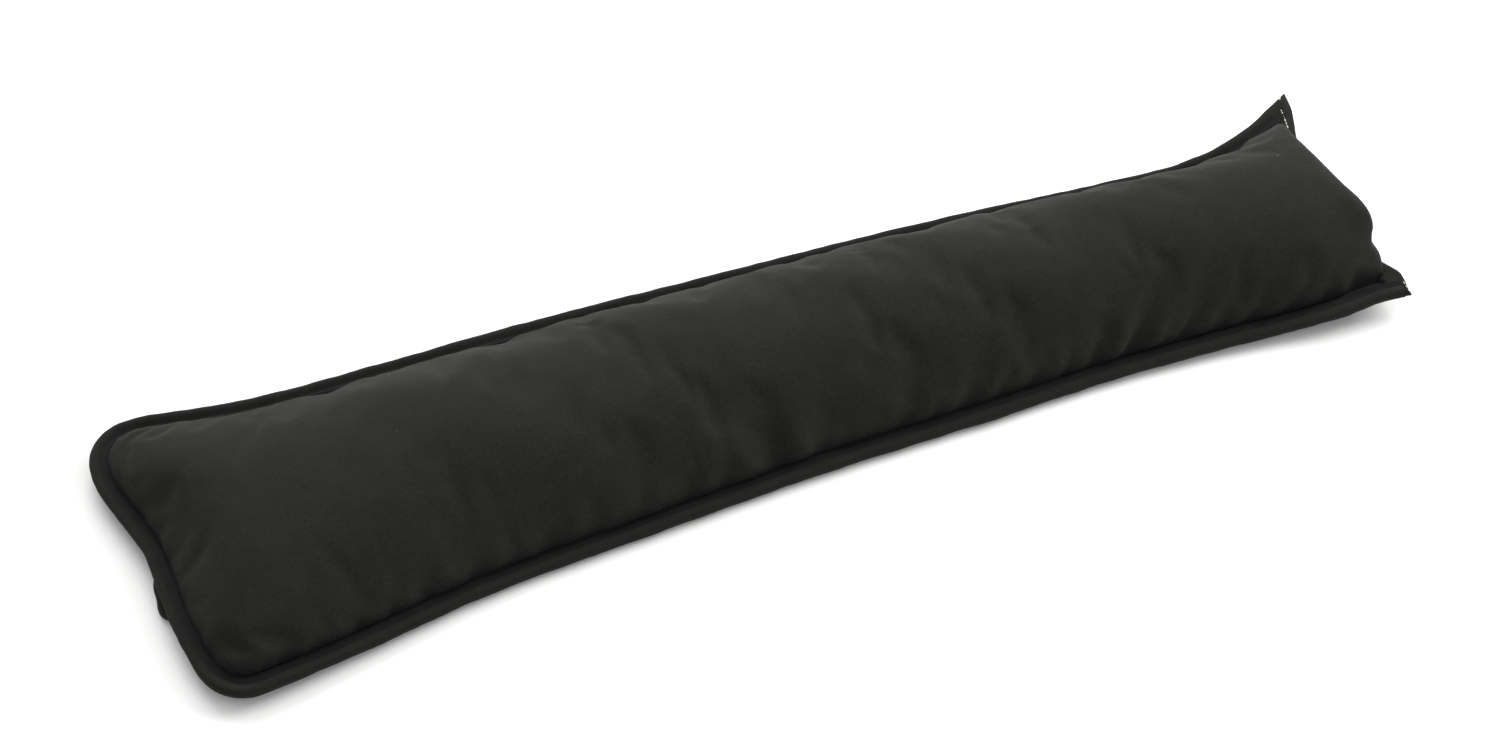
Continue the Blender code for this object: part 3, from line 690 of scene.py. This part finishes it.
def cover_shell(edge):
    """The stuffed body as one closed shell, its two panels meeting on the seam."""
    spine = spine_points(edge)
    rim = rim_points(edge, spine, BODY_INSET, END_INSET)
    builder = bmesh.new()

    def ring(places):
        return [builder.verts.new(p) for p in places]

    def join(outer, inner):
        for i in range(len(outer)):
            j = (i + 1) % len(outer)
            builder.faces.new(list(dict.fromkeys([outer[i], outer[j], inner[j], inner[i]])))

    seam = ring([p.seam for p in rim])
    top = seam
    for k in range(1, TOP_RINGS):
        inner = ring([top_point(p, spine[p.centre], (k / TOP_RINGS) ** RING_CROWDING) for p in rim])
        join(top, inner)
        top = inner
    crowns = ring([c + UP * lump_height(c[0], c[1]) for c in spine])
    join(top, [crowns[p.centre] for p in rim])
    under = seam
    for k in range(1, UNDER_RINGS):
        inner = ring([under_point(p, spine[p.centre], k / UNDER_RINGS) for p in rim])
        join(inner, under)
        under = inner
    floor = ring([np.array([c[0], c[1], 0.0]) for c in spine])
    join([floor[p.centre] for p in rim], under)
    bmesh.ops.remove_doubles(builder, verts=builder.verts, dist=MERGE_GAP)
    return closed_mesh(builder, "cover_shell"), rim


def gather_moves(places, seam):
    """How far each point of the cover moves out along its normal, for the ditch and the gathers."""
    sides = {}
    for side, axes in SIDES.items():
        line = seam[side]
        place = places[:, axes.along]
        off_line = [places[:, a] - np.interp(place, line[:, axes.along], line[:, a]) for a in (axes.across, 2)]
        sides[side] = (place, np.abs(off_line[0]) < axes.reach, np.hypot(*off_line))
    nearest = np.min([inward for _, _, inward in sides.values()], axis=0)
    drawn_in = (sides["front"][2] <= nearest + 0.001) | (sides["raw"][2] <= nearest + 0.001)
    depth = np.where(drawn_in, DITCH_DEPTH, FAR_DITCH_DEPTH)
    moves = -depth * np.exp(-((nearest / DITCH_WIDTH) ** 2))
    for side, rows in GATHERS.items():
        place, nearer, inward = sides[side]
        rise = np.clip(inward / GATHER_START, SEAM_SHARE, 1.0)
        for g in map(Gather._make, rows):
            share = inward / g.reach
            width = g.half_width * (1 + GATHER_WIDENING * np.minimum(share, GATHER_WIDEST))
            off = (place - g.at - g.lean * inward - g.bow * inward * share) / width
            fade = rise * np.exp(-(share**2.4) * 1.2) * nearer
            valley = -np.exp(-(off**2) * 1.3)
            ridges = g.ridge * sum(r.height * np.exp(-(((off - r.off) / r.width) ** 2)) for r in RIDGES)
            moves += g.depth * fade * (valley + ridges * np.clip(inward / RIDGE_START, 0, 1))
    return moves


def seam_lines(rim):
    """The seam of each side as rows of points, in rising order of the place along it."""
    lines = {}
    for side, axes in SIDES.items():
        rows = np.array([p.seam for p in rim if p.side == side])
        lines[side] = rows[np.argsort(rows[:, axes.along])]
    return lines


def soft_noise(places, size, seed):
    """Smooth noise from -1 to 1 whose lumps are about size metres across."""
    scale = 1 / size
    offset = Vector((seed * 17.3, seed * 5.1, seed * 9.7))
    return np.array([noise.noise(Vector(p) * scale + offset) for p in places])


def tree_of(points):
    tree = kdtree.KDTree(len(points))
    for i, p in enumerate(points):
        tree.insert(p, i)
    tree.balance()
    return tree


def paint_ditch_shade(mesh, line_tree, reach):
    """Marks how strongly the ditch's painted shade darkens the cloth: fully on the seam, and fading over the
    reach.
    """
    away = np.array([line_tree.find(p)[2] for p in coordinates(mesh)])
    pressed = mesh.attributes.new("pressed", "FLOAT", "POINT")
    pressed.data.foreach_set("value", np.exp(-((away / reach) ** 2)))


def freedom(places, seam_tree):
    """How freely each point of the cover moves: not at all on seam and floor, and fully a little away."""
    from_seam = np.array([seam_tree.find(p)[2] for p in places])
    off_seam = np.clip((from_seam - HELD_NEAR_SEAM) / (2 * HELD_NEAR_SEAM), 0, 1)
    return from_seam, off_seam * np.clip((places[:, 2] - FREE_ABOVE) / FREE_OVER, 0, 1)


def round_off(made, seam_tree):
    """Evens out the hips that run from the crown to the corners, away from the seam."""
    places = coordinates(made.data)
    _, free = freedom(places, seam_tree)
    ends = np.array([edge.vertices[:] for edge in made.data.edges])
    count = np.bincount(ends.ravel(), minlength=len(places))[:, None]
    for _ in range(ROUND_STEPS):
        total = np.zeros_like(places)
        for axis in range(3):
            value = places[:, axis]
            first = np.bincount(ends[:, 0], value[ends[:, 1]], len(places))
            total[:, axis] = first + np.bincount(ends[:, 1], value[ends[:, 0]], len(places))
        places += (total / count - places) * 0.5 * free[:, None]
    put_coordinates(made.data, places)


def simulated(made, seam_tree, cap, pressure):
    """Lets the stuffing press the cloth out for a few frames, held at seam and floor, and caps the move."""
    before = coordinates(made.data)
    from_seam, free = freedom(before, seam_tree)
    before = before - vertex_normals(made.data) * (SWELLING * free)[:, None]
    put_coordinates(made.data, before)
    held = made.vertex_groups.new(name="held")
    for i in np.nonzero((from_seam < 2 * HELD_NEAR_SEAM) | (before[:, 2] < FLOOR_GRIP))[0]:
        grip = 1.0 if before[i, 2] < FLOOR_GRIP else min(1.0, 2 - from_seam[i] / HELD_NEAR_SEAM)
        held.add([int(i)], max(0.0, grip), "REPLACE")
    cloth = made.modifiers.new("cloth", "CLOTH")
    settings = cloth.settings
    for name, value in CLOTH.items():
        setattr(settings, name, value)
    settings.uniform_pressure_force = pressure
    settings.effector_weights.gravity = 0
    cloth.collision_settings.use_collision = False
    cloth.point_cache.frame_start = 1
    cloth.point_cache.frame_end = CLOTH_FRAMES
    scene = bpy.context.scene
    for number in range(1, CLOTH_FRAMES + 1):
        scene.frame_set(number)
    evaluated = made.evaluated_get(bpy.context.evaluated_depsgraph_get())
    after = coordinates(evaluated.to_mesh())
    evaluated.to_mesh_clear()
    made.modifiers.remove(cloth)
    made.vertex_groups.remove(held)
    scene.frame_set(1)
    move = after - before
    length = np.linalg.norm(move, axis=1)
    limited = cap * np.tanh(length / cap) / np.maximum(length, 1e-9)
    put_coordinates(made.data, before + move * limited[:, None])


def strip_along(name, rows, halves):
    """A closed flat strip: each row is a list of points across it, with its half thickness in halves."""
    builder = bmesh.new()
    grids = []
    for sign in (1, -1):
        grid = []
        for row, half in zip(rows, halves):
            grid.append([builder.verts.new(p + up * half * sign) for p, up in row])
        grids.append(grid)
    upper, lower = grids
    count = len(rows)
    wide = len(rows[0])
    for i in range(count - 1):
        for j in range(wide - 1):
            builder.faces.new([upper[i][j], upper[i][j + 1], upper[i + 1][j + 1], upper[i + 1][j]])
            builder.faces.new([lower[i][j], lower[i + 1][j], lower[i + 1][j + 1], lower[i][j + 1]])
        for j in (0, wide - 1):
            builder.faces.new([upper[i][j], upper[i + 1][j], lower[i + 1][j], lower[i][j]])
    for i in (0, count - 1):
        for j in range(wide - 1):
            builder.faces.new([upper[i][j], upper[i][j + 1], lower[i][j + 1], lower[i][j]])
    mesh = closed_mesh(builder, name)
    mesh.shade_smooth()
    return mesh


def panel_tuck(edge):
    """A small fold of the lower panel that peeps out below the binding at the closed end."""
    rows = []
    halves = []
    for y, out in TUCK:
        near = np.abs(edge.line[:, 1] - y) + 10 * (edge.line[:, 0] > LEFT_CENTRE_X)
        middle, slope, _ = edge.at(edge.run[int(np.argmin(near))])
        outward = slope * np.array([1, 1, 0]) / np.linalg.norm(slope[:2])
        level = middle * np.array([1, 1, 0]) + UP * TUCK_LEVEL
        shares = (0.0, 0.5, 0.85, 1.0)
        rows.append([(level + outward * (TUCK_ROOT + (out - TUCK_ROOT) * share), UP) for share in shares])
        halves.append(TUCK_LEVEL * 0.8 if out > 0 else TUCK_LEVEL * 0.3)
    tuck = new_piece("panel_tuck", strip_along("panel_tuck", rows, halves))
    rounded = tuck.modifiers.new("rounded", "SUBSURF")
    rounded.levels = 2
    rounded.render_levels = 2
    return flattened(tuck, "panel_tuck")


def cut_lines(edge):
    """The binding's two cut ends: the roll's middle, the way along the edge, and the raw edge's normal."""
    raw_normal = np.cross(edge.line[-1, :3] - edge.line[0, :3], UP)
    beside_front = FRONT_CUT + 0.006
    back_cut = edge.length - BINDING_CUT
    for s, beside in ((FRONT_CUT, beside_front), (back_cut, back_cut - 0.006)):
        middle = edge.at(s)[0]
        along = edge.at(beside)[0] - middle
        yield s, middle, along / np.linalg.norm(along), raw_normal / np.linalg.norm(raw_normal)


def slant_cuts(mesh, edge):
    """Slants a piece at the binding's two cut ends, so that it ends along the raw edge."""
    places = coordinates(mesh)
    for _, middle, along, raw_normal in cut_lines(edge):
        from_cut = (places - middle) @ along
        near = np.linalg.norm(places - middle, axis=1) < 0.03
        weight = np.clip(1 - from_cut / SLANT_REACH, 0, 1) * near
        flat = places - from_cut[:, None] * along
        lean = ((flat - middle) @ raw_normal) / (along @ raw_normal)
        places = places - (weight * lean)[:, None] * along
    put_coordinates(mesh, places)


def path_object(name, *runs):
    """Lines of points with an attribute that says which way is up on them, for a node tree to follow."""
    mesh = bpy.data.meshes.new(name)
    rows = [row for run in runs for row in run]
    starts = np.cumsum([0] + [len(run) for run in runs])
    links = [(i, i + 1) for i in range(len(rows) - 1) if i + 1 not in starts]
    mesh.from_pydata([tuple(p) for p, _ in rows], links, [])
    up = mesh.attributes.new("up", "FLOAT_VECTOR", "POINT")
    up.data.foreach_set("vector", np.array([u for _, u in rows], float).ravel())
    return new_piece(name, mesh)


def open_tree(name, sockets):
    """A node group that takes geometry and the given inputs, and the identifiers by which they are set."""
    tree = bpy.data.node_groups.new(name, "GeometryNodeTree")
    for way in ("INPUT", "OUTPUT"):
        tree.interface.new_socket("Geometry", in_out=way, socket_type="NodeSocketGeometry")
    names = {}
    for label, kind, value in sockets:
        made = tree.interface.new_socket(label, in_out="INPUT", socket_type=f"NodeSocket{kind}")
        if value is not None:
            made.default_value = value
        names[label] = made.identifier
    return tree, names, add_node(tree, "NodeGroupInput").outputs


def close_tree(tree, geometry, finish):
    """Makes the geometry real, gives it its material and hands it out."""
    real = add_node(tree, "GeometryNodeRealizeInstances", inputs={"Geometry": geometry}).outputs["Geometry"]
    finished = add_node(tree, "GeometryNodeSetMaterial", inputs={"Geometry": real, "Material": finish})
    add_node(tree, "NodeGroupOutput", inputs={"Geometry": finished.outputs["Geometry"]})


def stitch_tree():
    """Stitches along a path: short rods sunk at both ends, laid end to end with a gap."""
    tree, names, given = open_tree("stitches_along_a_seam", (
        ("Pitch", "Float", 0.0032),
        ("Stitch", "Float", 0.0024),
        ("Thread", "Float", 0.0002),
        ("Slant", "Float", 0.05),
        ("Seed", "Int", 3),
        ("Finish", "Material", None),
    ))
    curve = add_node(tree, "GeometryNodeMeshToCurve", inputs={"Mesh": given["Geometry"]}).outputs["Curve"]
    spacing = {"Curve": curve, "Length": given["Pitch"]}
    spaced = add_node(tree, "GeometryNodeResampleCurve", {"mode": "LENGTH"}, spacing)
    tangent = add_node(tree, "GeometryNodeInputTangent").outputs["Tangent"]
    vector = {"data_type": "FLOAT_VECTOR"}
    up = add_node(tree, "GeometryNodeInputNamedAttribute", vector, {"Name": "up"}).outputs["Attribute"]
    align = "FunctionNodeAlignRotationToVector"
    turned = add_node(tree, align, {"axis": "X"}, {"Vector": tangent}).outputs["Rotation"]
    upright = {"Rotation": turned, "Vector": up}
    turned = add_node(tree, align, {"axis": "Z", "pivot_axis": "X"}, upright).outputs["Rotation"]
    spread = {2: -0.12, 3: 0.12, "Seed": given["Seed"]}
    wander = add_node(tree, "FunctionNodeRandomValue", {"data_type": "FLOAT"}, spread).outputs[1]
    slant = add_node(tree, "ShaderNodeMath", {"operation": "ADD"}, {0: wander, 1: given["Slant"]}).outputs["Value"]
    twist = add_node(tree, "ShaderNodeCombineXYZ", inputs={"Z": slant}).outputs["Vector"]
    twisted = {"Rotation": turned, "Rotate By": twist}
    turned = add_node(tree, "FunctionNodeRotateRotation", {"rotation_space": "LOCAL"}, twisted).outputs["Rotation"]
    ball = add_node(tree, "GeometryNodeMeshUVSphere", inputs={"Segments": 6, "Rings": 4, "Radius": 0.5})
    double = {0: given["Thread"], 1: 2.0}
    thick = add_node(tree, "ShaderNodeMath", {"operation": "MULTIPLY"}, double).outputs["Value"]
    measures = {"X": given["Stitch"], "Y": thick, "Z": thick}
    size = add_node(tree, "ShaderNodeCombineXYZ", inputs=measures).outputs["Vector"]
    rods = add_node(tree, "GeometryNodeInstanceOnPoints", inputs={
        "Points": spaced.outputs["Curve"], "Instance": ball.outputs["Mesh"], "Rotation": turned, "Scale": size,
    })
    close_tree(tree, rods.outputs["Instances"], given["Finish"])
    return tree, names


def band_tree():
    """A profile swept along a path, its height kept to the path's own up, with small waves in the cloth."""
    tree, names, given = open_tree("binding_along_an_edge", (
        ("Profile", "Object", None),
        ("Wave Height", "Float", 0.0005),
        ("Wave Length", "Float", 0.022),
        ("Finish", "Material", None),
    ))
    vector = {"data_type": "FLOAT_VECTOR"}
    up = add_node(tree, "GeometryNodeInputNamedAttribute", vector, {"Name": "up"}).outputs["Attribute"]
    curve = add_node(tree, "GeometryNodeMeshToCurve", inputs={"Mesh": given["Geometry"]}).outputs["Curve"]
    turned = add_node(tree, "GeometryNodeSetCurveNormal", {"mode": "FREE"}, {"Curve": curve, "Normal": up})
    profile = add_node(tree, "GeometryNodeObjectInfo", inputs={"Object": given["Profile"]}).outputs["Geometry"]
    section = add_node(tree, "GeometryNodeMeshToCurve", inputs={"Mesh": profile})
    swept = add_node(tree, "GeometryNodeCurveToMesh", inputs={
        "Curve": turned.outputs["Curve"], "Profile Curve": section.outputs["Curve"], "Fill Caps": True,
    })
    place = add_node(tree, "GeometryNodeInputPosition").outputs["Position"]
    inverse = {0: 1.0, 1: given["Wave Length"]}
    scale = add_node(tree, "ShaderNodeMath", {"operation": "DIVIDE"}, inverse).outputs["Value"]
    ripple = {"Vector": place, "Scale": scale, "Detail": 2.0, "Roughness": 0.55}
    height = add_node(tree, "ShaderNodeTexNoise", {"noise_dimensions": "3D"}, ripple).outputs["Fac"]
    for operation, other in (("SUBTRACT", 0.5), ("MULTIPLY", given["Wave Height"]), ("MULTIPLY", 4.0)):
        height = add_node(tree, "ShaderNodeMath", {"operation": operation}, {0: height, 1: other}).outputs["Value"]
    normal = add_node(tree, "GeometryNodeInputNormal").outputs["Normal"]
    scaled = {0: normal, "Scale": height}
    move = add_node(tree, "ShaderNodeVectorMath", {"operation": "SCALE"}, scaled).outputs["Vector"]
    moved = add_node(tree, "GeometryNodeSetPosition", inputs={"Geometry": swept.outputs["Mesh"], "Offset": move})
    soft = add_node(tree, "GeometryNodeSetShadeSmooth", inputs={"Geometry": moved.outputs["Geometry"]})
    close_tree(tree, soft.outputs["Geometry"], given["Finish"])
    return tree, names


def grown(path, tree, names, values, name):
    """Runs a node tree on a path and keeps the result as a plain mesh piece."""
    modifier = path.modifiers.new("nodes", "NODES")
    modifier.node_group = tree
    for key, value in values.items():
        modifier[names[key]] = value
    made = flattened(path, name)
    made.data.shade_smooth()
    return made


def finish_of(name, maker, *values):
    """A material by name, made once."""
    return bpy.data.materials.get(name) or maker(name, *values)


def cover_finish():
    return finish_of("brushed_polyester_cover", brushed_polyester, "#0B0D0A", "#1D1F1B", 1.1, 0.06)


def binding_finish():
    return finish_of("brushed_polyester_binding", brushed_polyester, "#0C0D0B", "#1B1D19", 1.0, 0.06)


class DraughtSizes(bpy.types.PropertyGroup):
    """Sizes a maker would change."""

    pressure: bpy.props.FloatProperty(
        name="Stuffing pressure", description="How hard the stuffing presses the cloth out", default=4.5, min=0.0
    )
    cap: bpy.props.FloatProperty(
        name="Most swelling", description="How far a point of the cover may move", default=0.0040, unit="LENGTH"
    )
    voxel: bpy.props.FloatProperty(
        name="Cloth grid", description="Size of the cover's faces before smoothing", default=0.0042, unit="LENGTH"
    )
    pitch: bpy.props.FloatProperty(
        name="Stitch pitch", description="From one topstitch to the next", default=0.0032, unit="LENGTH"
    )
    closing_pitch: bpy.props.FloatProperty(
        name="Closing stitch pitch", description="From one white stitch to the next", default=0.0028, unit="LENGTH"
    )
    floor_size: bpy.props.FloatProperty(
        name="Floor size", description="Width of the pale floor", default=9.0, unit="LENGTH"
    )


class DraughtColours(bpy.types.PropertyGroup):
    """Colours a maker would change."""

    floor: bpy.props.FloatVectorProperty(
        name="Floor", description="Colour of the pale floor", subtype="COLOR", size=4, default=linear("#F4F4F3")
    )


class DRAUGHT_OT_cover(bpy.types.Operator):
    """Builds the stuffed cover with its gathers"""

    bl_idname = "draught.cover"
    bl_label = "Stuffed cover"

    def execute(self, context):
        sizes = context.scene.draught_sizes
        edge = Edge()
        mesh, rim = cover_shell(edge)
        cover = new_piece("cover_shell", mesh)
        remesh = cover.modifiers.new("remesh", "REMESH")
        remesh.mode = "VOXEL"
        remesh.voxel_size = sizes.voxel
        even = cover.modifiers.new("even", "SMOOTH")
        even.factor = 0.5
        even.iterations = 3
        cover = flattened(cover, "stuffed_cover")
        seams = seam_lines(rim)
        points = [p.seam for p in rim]
        tree = tree_of(points)
        round_off(cover, tree)
        simulated(cover, tree, sizes.cap, sizes.pressure)
        finer = cover.modifiers.new("finer", "SUBSURF")
        finer.levels = 1
        finer.render_levels = 1
        cover = flattened(cover, "stuffed_cover")
        places = coordinates(cover.data)
        normals = vertex_normals(cover.data)
        above = np.clip((places[:, 2] - 0.004) / 0.012, 0, 1)
        moves = gather_moves(places, seams) * above
        moves += soft_noise(places, 0.055, 1) * 0.0007 * above
        moves += soft_noise(places, 0.021, 2) * 0.0003 * above
        places = places + normals * moves[:, None]
        places[:, 2] = np.maximum(places[:, 2], 0.0)
        put_coordinates(cover.data, places)
        # Paints shade into the cover's colour along the seam, where the ditch lies in shadow
        paint_ditch_shade(cover.data, tree, PAINTED_SHADE_COVER)
        cover.data.shade_smooth()
        cover.data.materials.append(cover_finish())
        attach(cover, "root")
        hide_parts("filled_cover")
        return {"FINISHED"}


class DRAUGHT_OT_hem(bpy.types.Operator):
    """Builds the cover's hem inside the binding, and its raw edge past the closing seam"""

    bl_idname = "draught.hem"
    bl_label = "Hem and raw edge"

    def execute(self, context):
        edge = Edge()
        rows = []
        for s in np.arange(BINDING_CUT - 0.001, edge.length - BINDING_CUT + 0.001, FINE_STEP):
            middle, slope, across = edge.at(s)
            places = ((HEM_OUT, 0.0), (HEM_BEND, 0.0), (-SEAM_INSET, WEB_DROP / 2), (-WEB_INSET, WEB_DROP))
            rows.append([(middle + slope * out - across * drop, across) for out, drop in places])
        hem = new_piece("bound_hem", strip_along("bound_hem", rows, [HEM_HALF] * len(rows)))
        slant_cuts(hem.data, edge)
        spine = spine_points(edge)
        rim = rim_points(edge, spine)
        raw = [p for p in rim if p.side == "raw"]
        front_tip = [p for p in rim if p.side == "front"][:3]
        back_tip = [p for p in rim if p.side == "back"][-3:]
        rows = []
        halves = []
        line = back_tip + raw + front_tip
        for i, p in enumerate(line):
            outward = p.hem - p.seam
            wave = 0.0006 * math.sin(i * 0.9) + 0.0002 * math.sin(i * 2.3 + 1.0)
            row = []
            for share in (-0.5, 0.0, 0.12, 0.4, 0.7, 1.0):
                lift = wave * max(0.0, share) ** 1.5
                ragged = 0.0003 * math.sin(i * 1.7) * (share == 1.0)
                along = outward * share + outward / np.linalg.norm(outward) * ragged
                row.append((p.seam + along + UP * lift, p.across))
            rows.append(row)
            from_tip = min(i, len(line) - 1 - i)
            halves.append(HEM_HALF + 0.0004 * min(1.0, from_tip / 6))
        raw_edge = new_piece("raw_edge", strip_along("raw_edge", rows, halves))
        for piece in (hem, raw_edge, panel_tuck(edge)):
            piece.data.materials.append(cover_finish())
            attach(piece, "root")
        return {"FINISHED"}


class DRAUGHT_OT_binding(bpy.types.Operator):
    """Sweeps the folded binding round three sides of the cover"""

    bl_idname = "draught.binding"
    bl_label = "Edge binding"

    def execute(self, context):
        edge = Edge()
        stations = np.arange(FRONT_CUT, edge.length - BINDING_CUT, 0.0028)
        rows = []
        for s in stations:
            middle, _, across = edge.at(s)
            rows.append((middle, across))
        path = path_object("binding_path", rows)
        outline = [(row.out, row.half) for row in BAND_PROFILE]
        outline += [(row.out, -row.half) for row in reversed(BAND_PROFILE[1:])]
        links = [(i, (i + 1) % len(outline)) for i in range(len(outline))]
        mesh = bpy.data.meshes.new("binding_section")
        mesh.from_pydata([(half, -out, 0.0) for out, half in outline], links, [])
        section = new_piece("binding_section", mesh)
        tree, names = band_tree()
        values = {"Profile": section, "Wave Height": 0.0005, "Wave Length": 0.022, "Finish": binding_finish()}
        band = grown(path, tree, names, values, "bound_edge")
        bpy.data.objects.remove(section)
        slant_cuts(band.data, edge)
        ditch = []
        for s in np.arange(0.0, edge.length, 0.001):
            middle, slope, _ = edge.at(s)
            ditch.append(middle + slope * DITCH_OUT)
        # Paints shade into the binding's colour along its ditch, where it lies in shadow
        paint_ditch_shade(band.data, tree_of(ditch), PAINTED_SHADE_BINDING)
        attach(band, "root")
        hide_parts("edge_binding")
        return {"FINISHED"}


class DRAUGHT_OT_stitches(bpy.types.Operator):
    """Sews the topstitching on the binding and the white stitches of the closed end"""

    bl_idname = "draught.stitches"
    bl_label = "Stitches"

    def execute(self, context):
        sizes = context.scene.draught_sizes
        edge = Edge()
        tree, names = stitch_tree()
        black = finish_of("spun_polyester_thread_black", spun_thread, "#0A0B0A", 0.7, 0.95)
        white = finish_of("spun_polyester_thread_white", spun_thread, "#F3F2EE", 0.7, 0.6)
        for face, sign in (("upper", 1), ("lower", -1)):
            rows = []
            for s in np.arange(BINDING_CUT + 0.001, edge.length - BINDING_CUT - 0.001, 0.002):
                middle, slope, across = edge.at(s)
                rows.append((middle + slope * STITCH_OUT + across * sign * 0.00100, across * sign))
            path = path_object(f"topstitch_path_{face}", rows)
            thread = {"Stitch": 0.0026, "Thread": 0.00018, "Slant": 0.04, "Seed": 3, "Finish": black}
            values = {"Pitch": sizes.pitch, **thread}
            stitches = grown(path, tree, names, values, f"topstitching_{face}")
            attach(stitches, "root")
        rim = rim_points(edge, spine_points(edge))
        raw = [p for p in rim if p.side == "raw"]
        for face, sign in (("upper", 1), ("lower", -1)):
            runs = []
            for (s, middle, along, raw_normal), tip in zip(cut_lines(edge), TIP_STITCHES):
                _, slope, across = edge.at(s)
                run = []
                for stitch in tip:
                    point = middle + slope * stitch.out + across * sign * 0.0013
                    lean = ((point - middle) @ raw_normal) / (along @ raw_normal)
                    point = point - along * (stitch.past + lean)
                    run.append((point, across * sign))
                runs.append(run)
            run = []
            for p in raw[HIDDEN_STITCHES:-HIDDEN_STITCHES]:
                outward = (p.hem - p.seam) / np.linalg.norm(p.hem - p.seam)
                run.append((p.seam + outward * 0.0016 + p.across * sign * 0.00105, p.across * sign))
            runs.append(run)
            path = path_object(f"closing_path_{face}", *runs)
            thread = {"Stitch": 0.0030, "Thread": 0.00036, "Slant": 0.06, "Seed": 8, "Finish": white}
            values = {"Pitch": sizes.closing_pitch, **thread}
            stitches = grown(path, tree, names, values, f"closing_stitches_{face}")
            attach(stitches, "root")
        return {"FINISHED"}


class DRAUGHT_OT_stage(bpy.types.Operator):
    """Lays the pale floor and sets the lights and the camera"""

    bl_idname = "draught.stage"
    bl_label = "Floor, lights and camera"

    def execute(self, context):
        scene = context.scene
        sizes = scene.draught_sizes
        half = sizes.floor_size / 2
        mesh = bpy.data.meshes.new("paper_floor")
        corners = [(-half, -half, 0), (half, -half, 0), (half, half, 0), (-half, half, 0)]
        mesh.from_pydata(corners, [], [(0, 1, 2, 3)])
        floor = new_piece("paper_floor", mesh)
        mesh.materials.append(finish_of("matt_background_paper", matt_paper, scene.draught_colours.floor))
        world = bpy.data.worlds.new("soft_studio")
        world.use_nodes = True
        background = world.node_tree.nodes["Background"].inputs
        background["Color"].default_value = (1.0, 1.0, 1.0, 1.0)
        background["Strength"].default_value = 0.70
        scene.world = world
        Lamp = namedtuple("Lamp", "name place size power")
        lamps = (
            Lamp("softbox_behind", (-0.1, 2.2, 1.4), 2.0, 52.0),
            Lamp("softbox_above", (0.2, 1.3, 2.5), 2.0, 12.0),
            Lamp("softbox_right", (1.8, 0.2, 1.2), 1.2, 38.0),
            Lamp("softbox_front", (0.9, -2.2, 1.8), 1.6, 8.0),
        )
        for lamp in lamps:
            data = bpy.data.lights.new(lamp.name, "AREA")
            data.shape = "SQUARE"
            data.size = lamp.size
            data.energy = lamp.power
            light = bpy.data.objects.new(lamp.name, data)
            light.location = lamp.place
            light.rotation_mode = "QUATERNION"
            light.rotation_quaternion = Vector(lamp.place).to_track_quat("Z", "Y")
            scene.collection.objects.link(light)
        azimuth = math.radians(-23.0)
        elevation = math.radians(47.0)
        level = math.cos(elevation)
        back = Vector((math.sin(azimuth) * level, -math.cos(azimuth) * level, math.sin(elevation)))
        camera = bpy.data.objects.new("camera", bpy.data.cameras.new("camera"))
        camera.data.lens = 85.0
        camera.data.sensor_width = 36.0
        camera.location = Vector((-0.0091, 0.0120, 0.0)) + back * 2.40
        camera.rotation_mode = "QUATERNION"
        camera.rotation_quaternion = back.to_track_quat("Z", "Y")
        scene.collection.objects.link(camera)
        scene.camera = camera
        scene.view_settings.view_transform = "Standard"
        return {"FINISHED"}


class DRAUGHT_PT_panel(bpy.types.Panel):
    """Lists the pieces of the draught excluder"""

    bl_idname = "DRAUGHT_PT_panel"
    bl_label = "Draught excluder"
    bl_space_type = "VIEW_3D"
    bl_region_type = "UI"
    bl_category = "Draught excluder"

    def draw(self, context):
        sizes = context.scene.draught_sizes
        for name in ("pressure", "cap", "voxel", "pitch", "closing_pitch", "floor_size"):
            self.layout.prop(sizes, name)
        self.layout.prop(context.scene.draught_colours, "floor")
        for operator in STEPS:
            self.layout.operator(operator.bl_idname)


STEPS = (DRAUGHT_OT_cover, DRAUGHT_OT_hem, DRAUGHT_OT_binding, DRAUGHT_OT_stitches, DRAUGHT_OT_stage)
CLASSES = (DraughtSizes, DraughtColours) + STEPS + (DRAUGHT_PT_panel,)


def register():
    for cls in CLASSES:
        bpy.utils.register_class(cls)
    bpy.types.Scene.draught_sizes = bpy.props.PointerProperty(type=DraughtSizes)
    bpy.types.Scene.draught_colours = bpy.props.PointerProperty(type=DraughtColours)


def unregister():
    del bpy.types.Scene.draught_colours
    del bpy.types.Scene.draught_sizes
    for cls in reversed(CLASSES):
        bpy.utils.unregister_class(cls)


def main():
    register()
    bpy.ops.draught.cover()
    bpy.ops.draught.hem()
    bpy.ops.draught.binding()
    bpy.ops.draught.stitches()
    bpy.ops.draught.stage()


if __name__ == "__main__":
    main()
